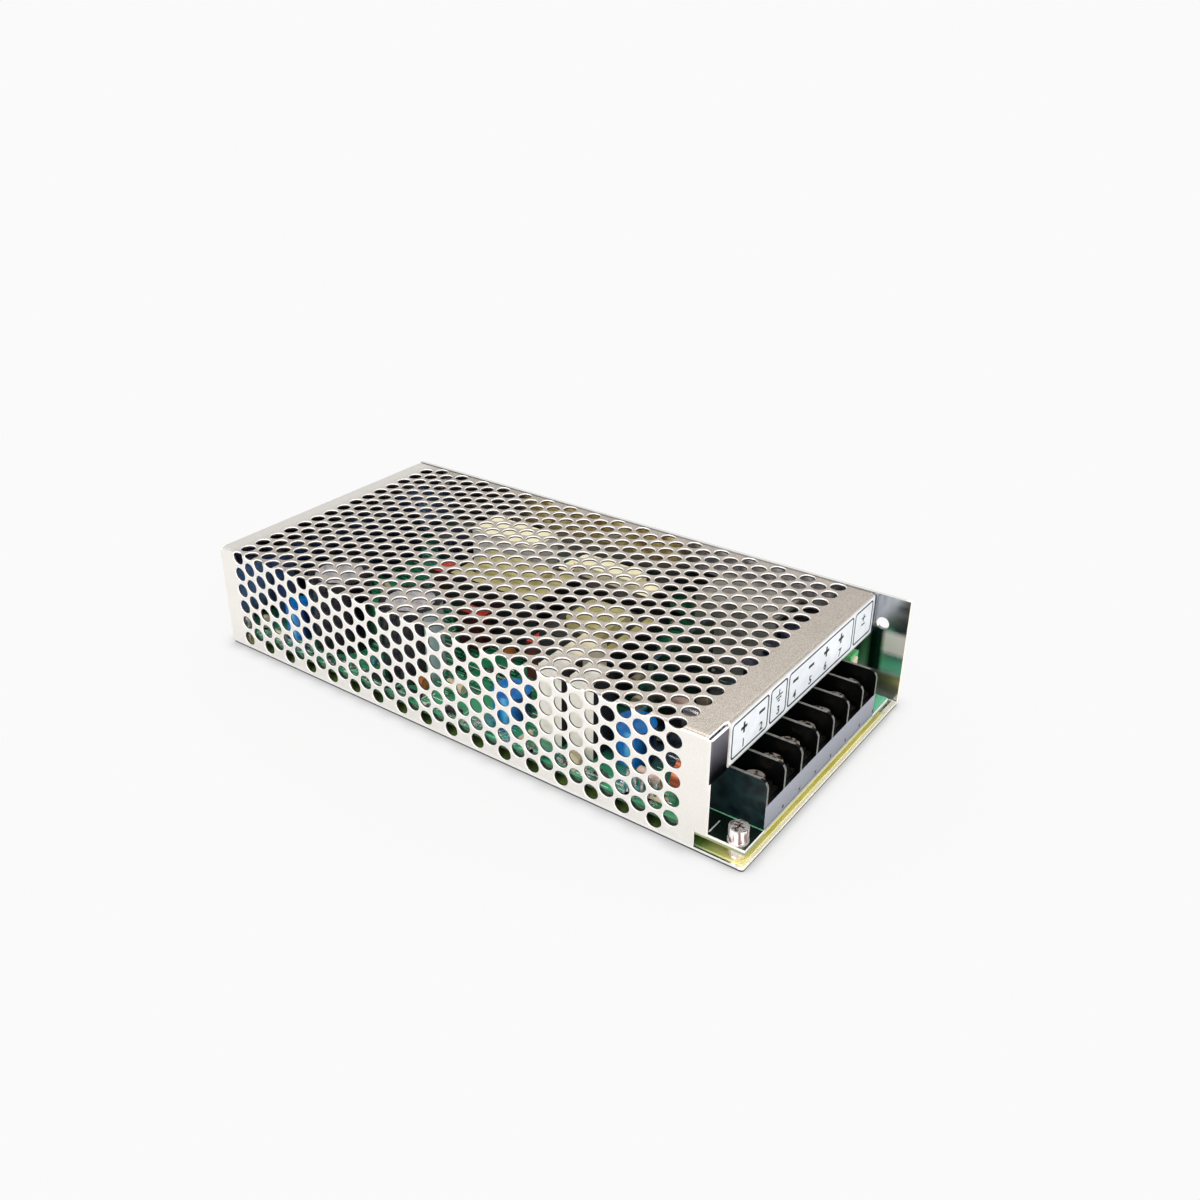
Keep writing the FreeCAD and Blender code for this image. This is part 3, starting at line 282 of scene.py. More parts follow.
def circuit_green(name, edge):
    """Solder mask with tracks under it, with painted light along the near side and painted shade
    deeper in and in the open corner.
    """
    look = Look(name)
    x = look.along(X)
    y = look.along(Y)
    tracks = look.add("TexBrick", {
        "Vector": look.place(), "Scale": 0.13, "Mortar Size": 0.06, "Mortar Smooth": 0.3,
        "Color1": srgb(24, 116, 78), "Color2": srgb(50, 158, 110), "Mortar": srgb(8, 60, 44)})
    patch = look.cloud(0.1, 0.42, 0.6)
    inner = look.times(look.ramp(x, 30.0, 44.0), look.ramp(y, -38.0, -28.0))
    corner = look.ramp(x, 79.0, 82.0)
    mask = look.mix(patch, tracks[0], (46, 158, 108))
    # Painted light: lighter toward the near side, where light comes in through the side holes
    mask = look.mix(look.ramp(y, -30.0, -40.0, 0.0, 0.45), mask, (92, 194, 144))
    # Painted shade: darker deeper in, and in the open front corner, though lighter mint at the far end
    # of that corner
    mask = look.mix(inner, mask, look.mix(patch, (14, 22, 34), (44, 74, 92)))
    mask = look.mix(corner, mask, (12, 26, 20))
    mask = look.mix(look.times(corner, look.ramp(y, 30.0, 31.0)), mask, (96, 190, 150))
    # Painted light and shade on the board's edge: the given edge colour on its upper part in the open
    # corner, olive below it, and painted shade in dark green along the side
    upper = look.ramp(look.along(Z), BOARD_LOW.z + 0.7, BOARD_LOW.z + 0.9)
    front_rim = look.mix(upper, (132, 140, 96), edge)
    block_rim = look.mix(upper, (206, 198, 96), (150, 153, 160))
    front_rim = look.mix(look.window(y, BLOCK_LOW.y, BLOCK_HIGH.y, 0.3), front_rim, block_rim)
    rim = look.mix(corner, (24, 62, 40), front_rim)
    top = look.ramp(look.normal(Z), 0.2, 0.6)
    look.set(Base_Color=look.mix(top, rim, mask), Roughness=0.22, Coat_Weight=0.4)
    look.emboss(tracks[1], 0.4, 0.03)


def amber_film():
    """Insulating film: olive in the shade of the board, yellow where daylight reaches it."""
    look = Look("amber_film")
    x = look.along(X)
    cloud = look.cloud(0.2)
    daylight = look.most(look.ramp(x, 86.0, 98.5), look.ramp(x, -90.0, -94.0))
    shaded = look.mix(cloud, (62, 88, 42), (110, 134, 62))
    bright = look.mix(cloud, (228, 220, 130), (246, 238, 158))
    look.coat(look.mix(daylight, shaded, bright), 1.5, 0.15, 0.28)


def moulded_black():
    """The terminal block: glossy black, with painted pale reflections on its forward faces, top edges
    and foot, and a painted blue-green reflection on its end face.
    """
    look = Look("moulded_black")
    z = look.along(Z)
    # Painted reflections: pale grey on forward faces and top edges, a grey gradient on the foot below
    # the way floor, blue-green on the near end face
    pale = look.most(look.faces(X), look.above(z, BLOCK_HIGH.z - 0.02))
    foot = look.mix(look.ramp(z, BLOCK_LOW.z, WAY_FLOOR), (126, 129, 139), (146, 149, 160))
    edge = look.mix(look.cloud(0.8), (88, 92, 90), (118, 120, 116))
    light = look.mix(look.ramp(z, WAY_FLOOR - 0.1, WAY_FLOOR + 0.1), foot, edge)
    teal = look.mix(look.cloud(0.3, 0.35, 0.65), (8, 18, 20), (24, 42, 44))
    black = look.mix(look.below(look.along(Y), BLOCK_LOW.y + 0.1), (2, 3, 3), teal)
    look.coat(look.mix(pale, black, light), 0.8, 0.3, 0.42, Specular_IOR_Level=0.2)


def streaked_metal(name, dark, bright, high):
    """Small turned parts of bright metal, with painted dark streaks and bright glints for what their
    sides reflect.
    """
    look = Look(name)
    streak = look.cloud(0.8, 0.4, high, (1, 1, 0.25), 1.0)
    look.coat(look.mix(streak, dark, bright), 2.0, 0.12, 0.24, Metallic=0.75)
    look.emboss(look.noise(0.7), 0.6, 0.15)


def taped(name, low, high, glow=0.0):
    """Wound plastic tape: bands of overlapping turns, and a painted glow, by emission, on a pale top.
    """
    look = Look(name)
    tape_width = 2.4
    turn = look.math("FRACT", look.math("DIVIDE", look.along(Z), tape_width))
    dark = tuple(value * 0.6 for value in srgb(*low)[:3]) + (1.0,)
    tape = look.mix(look.cloud(0.25), low, high)
    # The glow is painted light: emission on the faces that look up
    look.coat(look.mix(look.ramp(turn, 0.0, 0.12), dark, tape), 2.0, 0.2, 0.4,
              Emission_Color=tape, Emission_Strength=look.times(look.faces(Z, least=ROUNDED), glow))
    look.emboss(turn, 0.5, 0.06)


def capped(name, tape, bare, axis=Z, ends=(0.0, 100.0), glow=0.0):
    """A part whose top is taped between two places on an axis, while its sides stay bare."""
    look = Look(name)
    cloud = look.cloud(0.35)
    top = look.times(look.faces(Z, least=ROUNDED), look.window(look.along(axis), *ends, 0.3))
    tape = look.mix(cloud, *tape)
    # A glow, where given, is painted light: emission on the taped top
    look.coat(look.mix(top, look.mix(cloud, *bare), tape), 2.0, 0.3, 0.5,
              Emission_Color=tape, Emission_Strength=look.times(top, glow))


def anodised():
    """The black heat sink, with painted bluish light on the faces that the side holes show."""
    look = Look("anodised")
    cloud = look.cloud(0.3)
    # Painted light: blue on the faces toward the near side, strongest at the rear end
    painted_light_share = look.ramp(look.along(X), -84.0, -88.0, 0.25, 1.0)
    black = look.mix(cloud, (8, 13, 12), (20, 27, 24))
    blue = look.mix(cloud, (24, 42, 76), (48, 76, 124))
    near = look.times(look.faces(Y, -1, ROUNDED), painted_light_share)
    look.coat(look.mix(near, black, blue), 2.0, 0.35, 0.5)


def blue_sleeve():
    """Glossy blue sleeve: a painted pale reflection down its front, and painted shade towards its
    right side.
    """
    look = Look("blue_sleeve")
    across = look.normal(X)
    reflection = look.times(look.ramp(across, 0.0, 0.25), look.ramp(across, 0.55, 0.3))
    blue = look.mix(look.cloud(0.35), (6, 98, 186), (24, 138, 220))
    blue = look.mix(reflection, blue, (84, 190, 240))
    blue = look.mix(look.ramp(across, 0.55, 0.95), blue, (12, 34, 92))
    look.coat(blue, 2.5, 0.12, 0.2, Coat_Weight=0.5)


def striped_sleeve():
    """The black sleeve of the two large capacitors, with a pale stripe down the front one."""
    look = Look("striped_sleeve")
    stripe = look.times(look.above(look.normal(X), 0.82), look.above(look.normal(Y), -0.42))
    stripe = look.times(stripe, look.above(look.along(X), -35.0))
    sleeve = look.mix(look.cloud(0.3), (8, 5, 14), (18, 13, 26))
    look.coat(look.mix(stripe, sleeve, (176, 196, 198)), 2.5, 0.2, 0.32)


def cast_cement():
    """Pale cement bodies, with painted shade on their faces that look along X, toward the narrow gap
    between them.
    """
    look = Look("cast_cement")
    pale = look.mix(look.cloud(0.4), (240, 234, 220), (252, 249, 240))
    look.coat(look.mix(look.faces(X), pale, (26, 24, 24)), 2.0, 0.6, 0.8)


def wound_copper():
    """Enamelled wire laid side by side."""
    look = Look("copper")
    half_pitch = 0.55
    share = look.ramp(look.math("PINGPONG", look.along(Y), half_pitch), 0.0, half_pitch)
    look.coat(look.mix(share, (150, 72, 44), (226, 138, 96)), 3.0, 0.25, 0.4, Metallic=0.7)
    look.emboss(share, 0.9, 0.2)


def clear_glass():
    """The glass of the fuse."""
    look = Look("clear_glass")
    look.coat(srgb(232, 240, 238), 1.5, 0.02, 0.08, Transmission_Weight=0.9, IOR=1.5)


def finish(name, low, high, scale, rough, bump=0.02, fine=6.0, **more):
    """A surface whose colour and roughness wander between two ends, with a fine grain."""
    look = Look(name)
    grain = look.noise(fine, detail=2.0)
    look.set(Base_Color=look.mix(look.cloud(scale), low, high),
             Roughness=look.ramp(grain, NOISE_LOW, NOISE_HIGH, *rough), **more)
    look.emboss(grain, 0.5, bump)


plated_steel()
plated_inside()
folded_aluminium()
circuit_green("board", (226, 226, 216))
circuit_green("control", (40, 60, 56))
amber_film()
moulded_black()
streaked_metal("clamp_screw", (58, 44, 36), (255, 238, 224), 0.56)
streaked_metal("board_screw", (150, 124, 116), (255, 252, 250), 0.5)
taped("tape", (184, 173, 112), (220, 211, 148))
taped("pale_tape", (244, 233, 184), (255, 249, 216), glow=0.3)
capped("taped_core", ((188, 177, 118), (222, 213, 152)), ((12, 12, 16), (26, 25, 30)))
capped("pale_core", ((242, 230, 180), (255, 248, 214)), ((14, 14, 16), (34, 32, 30)),
       Y, (21.0, 30.6), glow=0.3)
capped("edge_core", ((170, 158, 98), (206, 196, 132)), ((10, 10, 13), (24, 23, 26)),
       X, (31.6, 40.0))
capped("relay", ((246, 236, 190), (255, 250, 220)), ((232, 226, 222), (250, 246, 242)), glow=0.3)
capped("red_dip", ((196, 48, 38), (236, 86, 64)), ((52, 18, 16), (96, 28, 24)))
anodised()
blue_sleeve()
striped_sleeve()
cast_cement()
wound_copper()
clear_glass()

# Plain finishes, some with painted light or shade as noted: darker and lighter colour, scale of the
# blotches, roughness, and what else differs
PLAIN = {
    # The cover's cut edges and hole rims: near-white, a painted highlight
    "lit_cut_edge": ((240, 234, 230), (250, 246, 243), 2.0, (0.35, 0.5), {"bump": 0.005}),
    # The deeper part of each hole's wall: dark, a painted shade
    "bore": ((34, 30, 32), (70, 62, 62), 1.0, (0.4, 0.6), {"bump": 0.01}),
    "plate": ((138, 138, 130), (186, 184, 174), 0.3, (0.35, 0.5), {"Metallic": 0.5}),
    "label": ((226, 231, 236), (240, 243, 247), 0.3, (0.3, 0.4), {"bump": 0.004, "Coat_Weight": 0.2}),
    "zinc": ((226, 214, 208), (255, 252, 249), 0.9, (0.14, 0.26),
             {"Metallic": 0.6, "bump": 0.03, "fine": 1.5}),
    "nickel": ((214, 200, 192), (250, 242, 236), 0.9, (0.12, 0.24),
               {"Metallic": 0.8, "bump": 0.03, "fine": 1.5}),
    # Nickel with a dark colour: painted shade for the contacts and clamps deep in the block's ways
    "shaded_nickel": ((30, 28, 28), (70, 66, 62), 0.9, (0.2, 0.35), {"Metallic": 0.8}),
    "lamp": ((120, 222, 176), (150, 238, 196), 0.5, (0.1, 0.2),
             {"bump": 0.005, "Transmission_Weight": 0.25, "Coat_Weight": 0.5}),
    "trimmer": ((84, 176, 104), (112, 204, 128), 0.4, (0.25, 0.4), {"bump": 0.01}),
    "rotor": ((220, 206, 176), (236, 226, 200), 0.8, (0.35, 0.5), {"bump": 0.01}),
    "bobbin": ((14, 16, 16), (28, 30, 28), 0.5, (0.3, 0.5), {}),
    "navy_sleeve": ((10, 16, 38), (20, 30, 62), 0.3, (0.14, 0.26), {"bump": 0.01, "Coat_Weight": 0.5}),
    "can_top": ((186, 184, 190), (240, 238, 240), 0.5, (0.25, 0.4),
                {"Metallic": 0.4, "bump": 0.05, "fine": 1.0}),
    "black_epoxy": ((16, 16, 18), (28, 28, 32), 0.7, (0.4, 0.6), {}),
    "pad": ((168, 166, 160), (190, 188, 182), 0.8, (0.6, 0.8), {}),
    "ink": ((22, 24, 28), (36, 38, 44), 3.0, (0.4, 0.6), {"bump": 0.002}),
    "silk": ((206, 220, 208), (236, 244, 236), 2.0, (0.5, 0.7), {"bump": 0.005}),
    "solder": ((170, 174, 176), (222, 224, 224), 1.5, (0.15, 0.3), {"Metallic": 0.9}),
    "bright_track": ((110, 196, 150), (150, 224, 184), 1.0, (0.25, 0.4), {"bump": 0.005}),
    "teal_body": ((40, 110, 120), (80, 156, 160), 1.0, (0.4, 0.55), {}),
    "pink_body": ((226, 184, 166), (244, 214, 200), 0.8, (0.4, 0.55), {}),
    "pale_body": ((246, 232, 192), (255, 247, 220), 0.5, (0.5, 0.65), {}),
    # Dark crosses on screw heads: painted shade for their cross recesses
    "recess": ((46, 34, 30), (84, 66, 58), 1.5, (0.4, 0.6), {"bump": 0.01}),
    "brown_dip": ((150, 84, 40), (196, 120, 62), 0.8, (0.2, 0.35), {"bump": 0.03}),
    "beige_body": ((204, 186, 150), (226, 212, 180), 1.0, (0.4, 0.55), {}),
}
for name, (low, high, scale, rough, more) in PLAIN.items():
    finish(name, low, high, scale, rough, **more)

WAYS = 7
# The nodes that wear each paint
FINISHES = {
    "folded_aluminium": "chassis",
    "label": "terminal_label",
    "amber_film": "insulation_sheet",
    "board": "circuit_board",
    "control": "control_board",
    "nickel": "board_standoffs fuse_caps fuse_clips",
    "zinc": "cover_screws board_flat_washers lamp_leads",
    "board_screw": "board_spring_washers board_screws",
    "moulded_black": "terminal_block",
    "shaded_nickel": "terminal_contacts",
    "lamp": "power_lamp",
    "trimmer": "trimmer_body",
    "rotor": "trimmer_rotor",
    "bobbin": "transformer_bobbin output_choke_bobbin filter_choke_bobbin toroid_holder",
    "tape": "transformer_winding output_choke_winding",
    "pale_tape": "filter_choke_winding",
    "taped_core": "transformer_core",
    "edge_core": "output_choke_core",
    "pale_core": "filter_choke_core",
    "striped_sleeve": "bulk_capacitors",
    "blue_sleeve": "blue_capacitors",
    "navy_sleeve": "input_capacitor output_capacitors",
    "copper": "toroid_coil",
    "cast_cement": "cement_resistors",
    "relay": "relay",
    "red_dip": "film_capacitors",
    "anodised": "rear_heatsink",
    "plate": "heat_spreader clamp_bar",
    "black_epoxy": "power_transistors control_chip",
    "pad": "thermal_pads",
    "clear_glass": "fuse_glass",
}


def dress(item, *paints):
    """Give a mesh object its materials."""
    item.data.materials.clear()
    for paint in paints:
        item.data.materials.append(PAINT[paint])


for paint, nodes in FINISHES.items():
    for node in nodes.split():
        dress(NODES[node], paint)
for way in range(1, WAYS + 1):
    dress(NODES["wire_clamp_" + str(way)], "shaded_nickel")
    dress(NODES["terminal_screw_" + str(way)], "clamp_screw")


# Mesh helpers

def in_scene(name, data):
    """A new object in the scene."""
    item = bpy.data.objects.new(name, data)
    bpy.context.scene.collection.objects.link(item)
    return item


def new_mesh(name, points, faces, *paints):
    """A mesh object from points in millimetres."""
    mesh = bpy.data.meshes.new(name)
    mesh.from_pydata([tuple(value * MM for value in point) for point in points], [], faces)
    mesh.validate()
    mesh.update()
    item = in_scene(name, mesh)
    dress(item, *paints)
    return item


class Shapes:
    """Collects small prisms, each a flat outline with a thickness, for one mesh."""

    def __init__(self, lay):
        self.lay = lay
        self.points = []
        self.faces = []

    def prism(self, outline, thick):
        """A filled outline, anticlockwise, raised by its thickness."""
        first = len(self.points)
        count = len(outline)
        self.points += [self.lay(a, b, 0) for a, b in outline]
        self.points += [self.lay(a, b, thick) for a, b in outline]
        self.faces.append(tuple(first + index for index in reversed(range(count))))
        self.faces.append(tuple(first + count + index for index in range(count)))
        for index in range(count):
            other = (index + 1) % count
            self.faces.append((first + index, first + other, first + count + other,
                               first + count + index))

    def ring(self, outer, inner, thick):
        """A band between two outlines with equally many points."""
        count = len(outer)
        for index in range(count):
            other = (index + 1) % count
            self.prism([outer[index], outer[other], inner[other], inner[index]], thick)


def rounded_outline(low_a, low_b, high_a, high_b, radius, steps=5):
    """A rectangle with round corners, anticlockwise."""
    corners = [(high_a - radius, high_b - radius, 0), (low_a + radius, high_b - radius, 90),
               (low_a + radius, low_b + radius, 180), (high_a - radius, low_b + radius, 270)]
    points = []
    for centre_a, centre_b, angle in corners:
        for step in range(steps + 1):
            turn = math.radians(angle + 90 * step / steps)
            points.append((centre_a + radius * math.cos(turn), centre_b + radius * math.sin(turn)))
    return points


def disc_outline(centre_a, centre_b, radius, sides=16):
    """A round outline, anticlockwise."""
    turns = [2 * math.pi * index / sides for index in range(sides)]
    return [(centre_a + radius * math.cos(turn), centre_b + radius * math.sin(turn))
            for turn in turns]


def box_outline(low_a, low_b, high_a, high_b):
    """A rectangle between two corners, anticlockwise."""
    return [(low_a, low_b), (high_a, low_b), (high_a, high_b), (low_a, high_b)]


def bar_outline(centre_a, centre_b, half_a, half_b):
    """A rectangle round its centre, anticlockwise."""
    return box_outline(centre_a - half_a, centre_b - half_b, centre_a + half_a, centre_b + half_b)


# The perforated cover, built as a flat pattern and folded

SHEET = 0.8
BEND = 1.0
BEND_STEPS = 4
# Length of one bend in the flat pattern, and the full height of the side there
ARC = 1.63
SIDE_FLAT = 34.14
TOP_FLAT = COVER_HIGH.y - COVER_LOW.y - 2 * BEND
LIP_DEPTH = 9.0
FAR_EDGE = TOP_FLAT + 2 * ARC + LIP_DEPTH
FLANGE_BOTTOM = 22.2
RELIEF_SLOT = 0.5
NOTCH_LENGTH = 3.9
# The ends keep this far inside the lip at the far side, and inside the sheet at the near side
FAR_PLAY = 0.1
NEAR_PLAY = 0.05
# Below this place of the flat pattern, the rear end is drawn to the near sheet
REAR_CORNER = 3.0
HOLE_RADIUS = 2.41
# The punch rolls the edge of each hole over, this wide and this deep
ROLL_WIDE = 0.13
ROLL_DEEP = 0.34
COLUMN_PITCH = 5.1
ROW_PITCH = 6.13
COLUMNS = 34
FIRST_COLUMN = -90.6
# Places of the lowest hole of a column in the flat pattern, counted from the fold
FIRST_ROW_ODD = -28.42
FIRST_ROW_EVEN = FIRST_ROW_ODD - ROW_PITCH / 2
ROWS = 21
# Cross lines of the flat pattern for each hole, and the row of holes that line 0 runs through
STEPS = 8
ZERO_ROW = 5
# All places of the flat pattern are whole numbers of this many steps to the millimetre
PLACE_STEPS = 800
TINY = 1e-6
# Cross lines at which the outline of the flat pattern steps in or out
BOTTOM_LINE = -44
NOTCH_LINE = -37
TAB_LINE = -16
SLOT_LINE = 1
REAR_LINE = 4
SLIT_LINE = 13


def clamp_line(v):
    """A place across the flat pattern, held between its two edges."""
    return min(max(v, -SIDE_FLAT), FAR_EDGE)


def line(number):
    """Place of a cross line of the flat pattern."""
    return clamp_line(FIRST_ROW_EVEN + ROW_PITCH * ZERO_ROW + ROW_PITCH / STEPS * number)


def steps_between(first, last, count):
    """Evenly spaced places from the first to the last."""
    return [first + (last - first) * index / count for index in range(count + 1)]


def bent(run):
    """Sine and cosine of the turn that a bend has made after a run along it."""
    turn = min(run / ARC, 1.0) * math.pi / 2
    return math.sin(turn), math.cos(turn)


def folded(tag, u, v, depth):
    """Place and outward normal of a point of the flat pattern, depth below the outer face."""
    near = COVER_LOW.y
    far = COVER_HIGH.y
    top = COVER_HIGH.z
    radius = BEND - depth
    side_z = top - BEND + v * (top - BEND - COVER_LOW.z) / SIDE_FLAT
    if tag == "tab":
        run = u - (COVER_HIGH.x - BEND)
        sine, cosine = bent(run)
        y = near + BEND - radius * cosine + max(run - ARC, 0.0)
        return (COVER_HIGH.x - BEND + radius * sine, y, side_z), (sine, -cosine, 0.0)
    if tag in ("flange", "rear"):
        y = near + BEND + v - ARC
        edge = COVER_HIGH.x - BEND if tag == "flange" else COVER_LOW.x + BEND
        sign = 1 if tag == "flange" else -1
        run = (u - edge) * sign
        share = min(run / ARC, 1.0)
        sine, cosine = bent(run)
        if v > TOP_FLAT:
            y += (far - FAR_PLAY - y) * share
        if tag == "rear" and v < REAR_CORNER:
            y += (near + SHEET + NEAR_PLAY - y) * share
        z = top - BEND + radius * cosine - max(run - ARC, 0.0)
        return (edge + sign * radius * sine, y, z), (sign * sine, 0.0, cosine)
    if v <= 0:
        return (u, near + depth, side_z), (0.0, -1.0, 0.0)
    if v < ARC:
        sine, cosine = bent(v)
        place = (u, near + BEND - radius * cosine, top - BEND + radius * sine)
        return place, (0.0, -cosine, sine)
    if v <= ARC + TOP_FLAT:
        return (u, near + BEND + v - ARC, top - depth), (0.0, 0.0, 1.0)
    if v < 2 * ARC + TOP_FLAT:
        sine, cosine = bent(v - ARC - TOP_FLAT)
        place = (u, far - BEND + radius * sine, top - BEND + radius * cosine)
        return place, (0.0, sine, cosine)
    return (u, far - depth, top - BEND - (v - 2 * ARC - TOP_FLAT)), (0.0, 1.0, 0.0)


class Pattern:
    """Faces of the flat pattern; points are shared where their places agree."""

    def __init__(self):
        self.index = {}
        self.keys = []
        self.faces = []
        self.bores = {}

    def point(self, tag, u, v):
        """The number of a point, which is made where it is new."""
        key = (tag, round(u * PLACE_STEPS), round(v * PLACE_STEPS))
        if key not in self.index:
            self.index[key] = len(self.keys)
            self.keys.append((tag, u, v))
        return self.index[key]

    def face(self, corners):
        """A face between points, without those that fall together."""
        found = dict.fromkeys(self.point(*corner) for corner in corners)
        if len(found) > 2:
            self.faces.append(tuple(found))

    def block(self, tag, u_lines, rows, start_u=None):
        """Quads between lines; points on start_u belong to the flat part beside it."""
        for row in rows:
            low, high = line(row), line(row + 1)
            if high - low < TINY:
                continue
            for u0, u1 in zip(u_lines, u_lines[1:]):
                tag0 = "flat" if u0 == start_u else tag
                tag1 = "flat" if u1 == start_u else tag
                self.face([(tag0, u0, low), (tag1, u1, low), (tag1, u1, high), (tag0, u0, high)])

    def seam(self, u_lines, row, above):
        """One face that meets the hole cells above it or below it point for point."""
        low, high = line(row), line(row + 1)
        fine, coarse = (high, low) if above else (low, high)
        corners = [("flat", u, fine) for u in u_lines]
        corners += [("flat", u_lines[-1], coarse), ("flat", u_lines[0], coarse)]
        self.face(corners[::-1] if above else corners)

    def hole(self, u, v):
        """A ring of quads between a cell's edge and its round hole."""
        edge_u = COLUMN_PITCH / 2
        edge_v = ROW_PITCH / 2
        half = STEPS // 2
        outline = []
        circle = []
        for index in range(4 * STEPS):
            side, step = divmod(index + half, STEPS)
            share = step / half - 1
            corner = [(1, share), (-share, 1), (-1, -share), (share, -1)][side % 4]
            outline.append(("flat", u + corner[0] * edge_u, clamp_line(v + corner[1] * edge_v)))
            turn = math.pi / 2 * index / STEPS
            across, along = math.cos(turn), math.sin(turn)
            wide = HOLE_RADIUS + ROLL_WIDE
            rim = ("flat", u + wide * across, v + wide * along)
            circle.append(rim)
            bore = ("flat", u + HOLE_RADIUS * across, v + HOLE_RADIUS * along)
            self.bores[self.point(*rim)] = bore
        for index in range(4 * STEPS):
            other = (index + 1) % (4 * STEPS)
            self.face([circle[index], outline[index], outline[other], circle[other]])


def flat_pattern():
    """The whole cover as one flat piece of sheet."""
    made = Pattern()
    last_line = 0
    while line(last_line) < FAR_EDGE - TINY:
        last_line += 1
    everything = range(BOTTOM_LINE, last_line)
    for column in range(COLUMNS):
        u = FIRST_COLUMN + COLUMN_PITCH * column
        shifted = column % 2 == 1
        start_v = FIRST_ROW_ODD if shifted else FIRST_ROW_EVEN
        for row in range(ROWS):
            made.hole(u, start_v + ROW_PITCH * row)
        first_cell = BOTTOM_LINE + (STEPS // 2 if shifted else 0)
        used = range(first_cell, first_cell + STEPS * ROWS)
        u_lines = steps_between(u - COLUMN_PITCH / 2, u + COLUMN_PITCH / 2, STEPS)
        below = [row for row in everything if row < used.start]
        beyond = [row for row in everything if row >= used.stop]
        made.block("flat", [u_lines[0], u_lines[-1]], below[:-1] + beyond[1:])
        made.seam(u_lines, beyond[0], False)
        if below:
            made.seam(u_lines, below[-1], True)
    left = FIRST_COLUMN - COLUMN_PITCH / 2
    right = FIRST_COLUMN + COLUMN_PITCH * (COLUMNS - 0.5)
    rear_edge = COVER_LOW.x + BEND
    front_edge = COVER_HIGH.x - BEND
    slot_edge = COVER_HIGH.x - SHEET - RELIEF_SLOT
    notch_edge = COVER_HIGH.x - NOTCH_LENGTH
    made.block("flat", [rear_edge, left], everything)
    made.block("flat", [COVER_LOW.x, rear_edge], range(BOTTOM_LINE, 1))
    far_line = max(row for row in everything if line(row) <= ARC + TOP_FLAT)
    lip_line = min(row for row in everything if line(row) >= 2 * ARC + TOP_FLAT)
    made.block("flat", [COVER_LOW.x, rear_edge], range(lip_line, last_line))
    depth = COVER_HIGH.z - BEND - COVER_LOW.z
    rear = [rear_edge - ARC - depth] + steps_between(rear_edge - ARC, rear_edge, BEND_STEPS)
    made.block("rear", rear, range(REAR_LINE, far_line), rear_edge)
    made.block("flat", [right, notch_edge], everything)
    made.block("flat", [notch_edge, slot_edge], range(NOTCH_LINE, last_line))
    behind_slot = [row for row in range(NOTCH_LINE, last_line) if not SLOT_LINE <= row < SLIT_LINE]
    made.block("flat", [slot_edge, front_edge], behind_slot)
    made.block("flat", [front_edge, COVER_HIGH.x], range(NOTCH_LINE, TAB_LINE))
    made.block("flat", [front_edge, COVER_HIGH.x], range(lip_line, last_line))
    front_bend = steps_between(front_edge, front_edge + ARC, BEND_STEPS)
    tab_end = front_edge + ARC + TAB_EDGE - COVER_LOW.y - BEND
    made.block("tab", front_bend + [tab_end], range(TAB_LINE, SLOT_LINE), front_edge)
    flange_end = front_edge + ARC + COVER_HIGH.z - BEND - FLANGE_BOTTOM
    made.block("flange", front_bend + [flange_end], range(SLIT_LINE + 1, far_line), front_edge)
    return made


COVER_PAINTS = ["plated_steel", "lit_cut_edge", "plated_inside", "bore"]


def folded_cover():
    """The perforated sheet folded up, with its thickness and cut edges."""
    pattern = flat_pattern()
    outer = [folded(*key, 0.0) for key in pattern.keys]
    inner = [folded(*pattern.bores.get(number, key), SHEET)
             for number, key in enumerate(pattern.keys)]
    count = len(outer)
    middle = {number: 2 * count + order for order, number in enumerate(pattern.bores)}
    points = [place for place, normal in outer + inner]
    points += [folded(*bore, ROLL_DEEP)[0] for bore in pattern.bores.values()]
    edges = {}
    for corners in pattern.faces:
        for a, b in zip(corners, corners[1:] + corners[:1]):
            edges[(a, b)] = True
    faces = list(pattern.faces)
    faces += [tuple(count + number for number in reversed(corners)) for corners in pattern.faces]
    normals = [outer[number][1] for corners in pattern.faces for number in corners]
    normals += [tuple(-value for value in outer[number][1])
                for corners in pattern.faces for number in reversed(corners)]
    sheet_faces = len(faces)
    bore_faces = []
    for a, b in edges:
        if (b, a) in edges:
            continue
        if a in middle and b in middle:
            faces.append((b, a, middle[a], middle[b]))
            bore_faces.append(len(faces))
            faces.append((middle[b], middle[a], count + a, count + b))
        else:
            faces.append((b, a, count + a, count + b))
    item = new_mesh("cover_sheet", points, faces, *COVER_PAINTS)
    mesh = item.data
    for face in mesh.polygons[sheet_faces // 2:sheet_faces]:
        face.material_index = COVER_PAINTS.index("plated_inside")
    # Every cut edge gets the near-white paint, a painted highlight
    for face in mesh.polygons[sheet_faces:]:
        face.material_index = COVER_PAINTS.index("lit_cut_edge")
        normals += [tuple(face.normal)] * 4
    # The deeper part of each hole's wall gets the dark paint of painted shade
    for number in bore_faces:
        mesh.polygons[number].material_index = COVER_PAINTS.index("bore")
    mesh.shade_smooth()
    mesh.normals_split_custom_set(normals)
    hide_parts("mesh_cover")
    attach(item, "case")


folded_cover()


# Marks on the label and on the foot of the terminal block

LABEL_LOW, LABEL_HIGH = box_mm("terminal_label")
WAY_PITCH = 9.5
DIVIDER = 0.9
WAY_PLACES = [BLOCK_LOW.y + DIVIDER / 2 + WAY_PITCH / 2 + WAY_PITCH * way for way in range(WAYS)]
# Marks start this far inside the face that carries them
SUNK = 0.02
INK = 0.05
FRAME_WIDTH = 0.55
FRAME_RADIUS = 1.3
# Both ends of each frame, along the label
FRAMES = [(-39.0, -19.6), (-18.6, -9.2), (-8.3, 32.6), (33.6, 46.2)]
# Half the length and half the thickness of a sign's bars, and half that of a thin line
SIGN_HALF = 1.6
SIGN_THICK = 0.45
THIN = 0.25
EARTH_WAY = 2
PLUS_WAYS = (0, 5, 6)


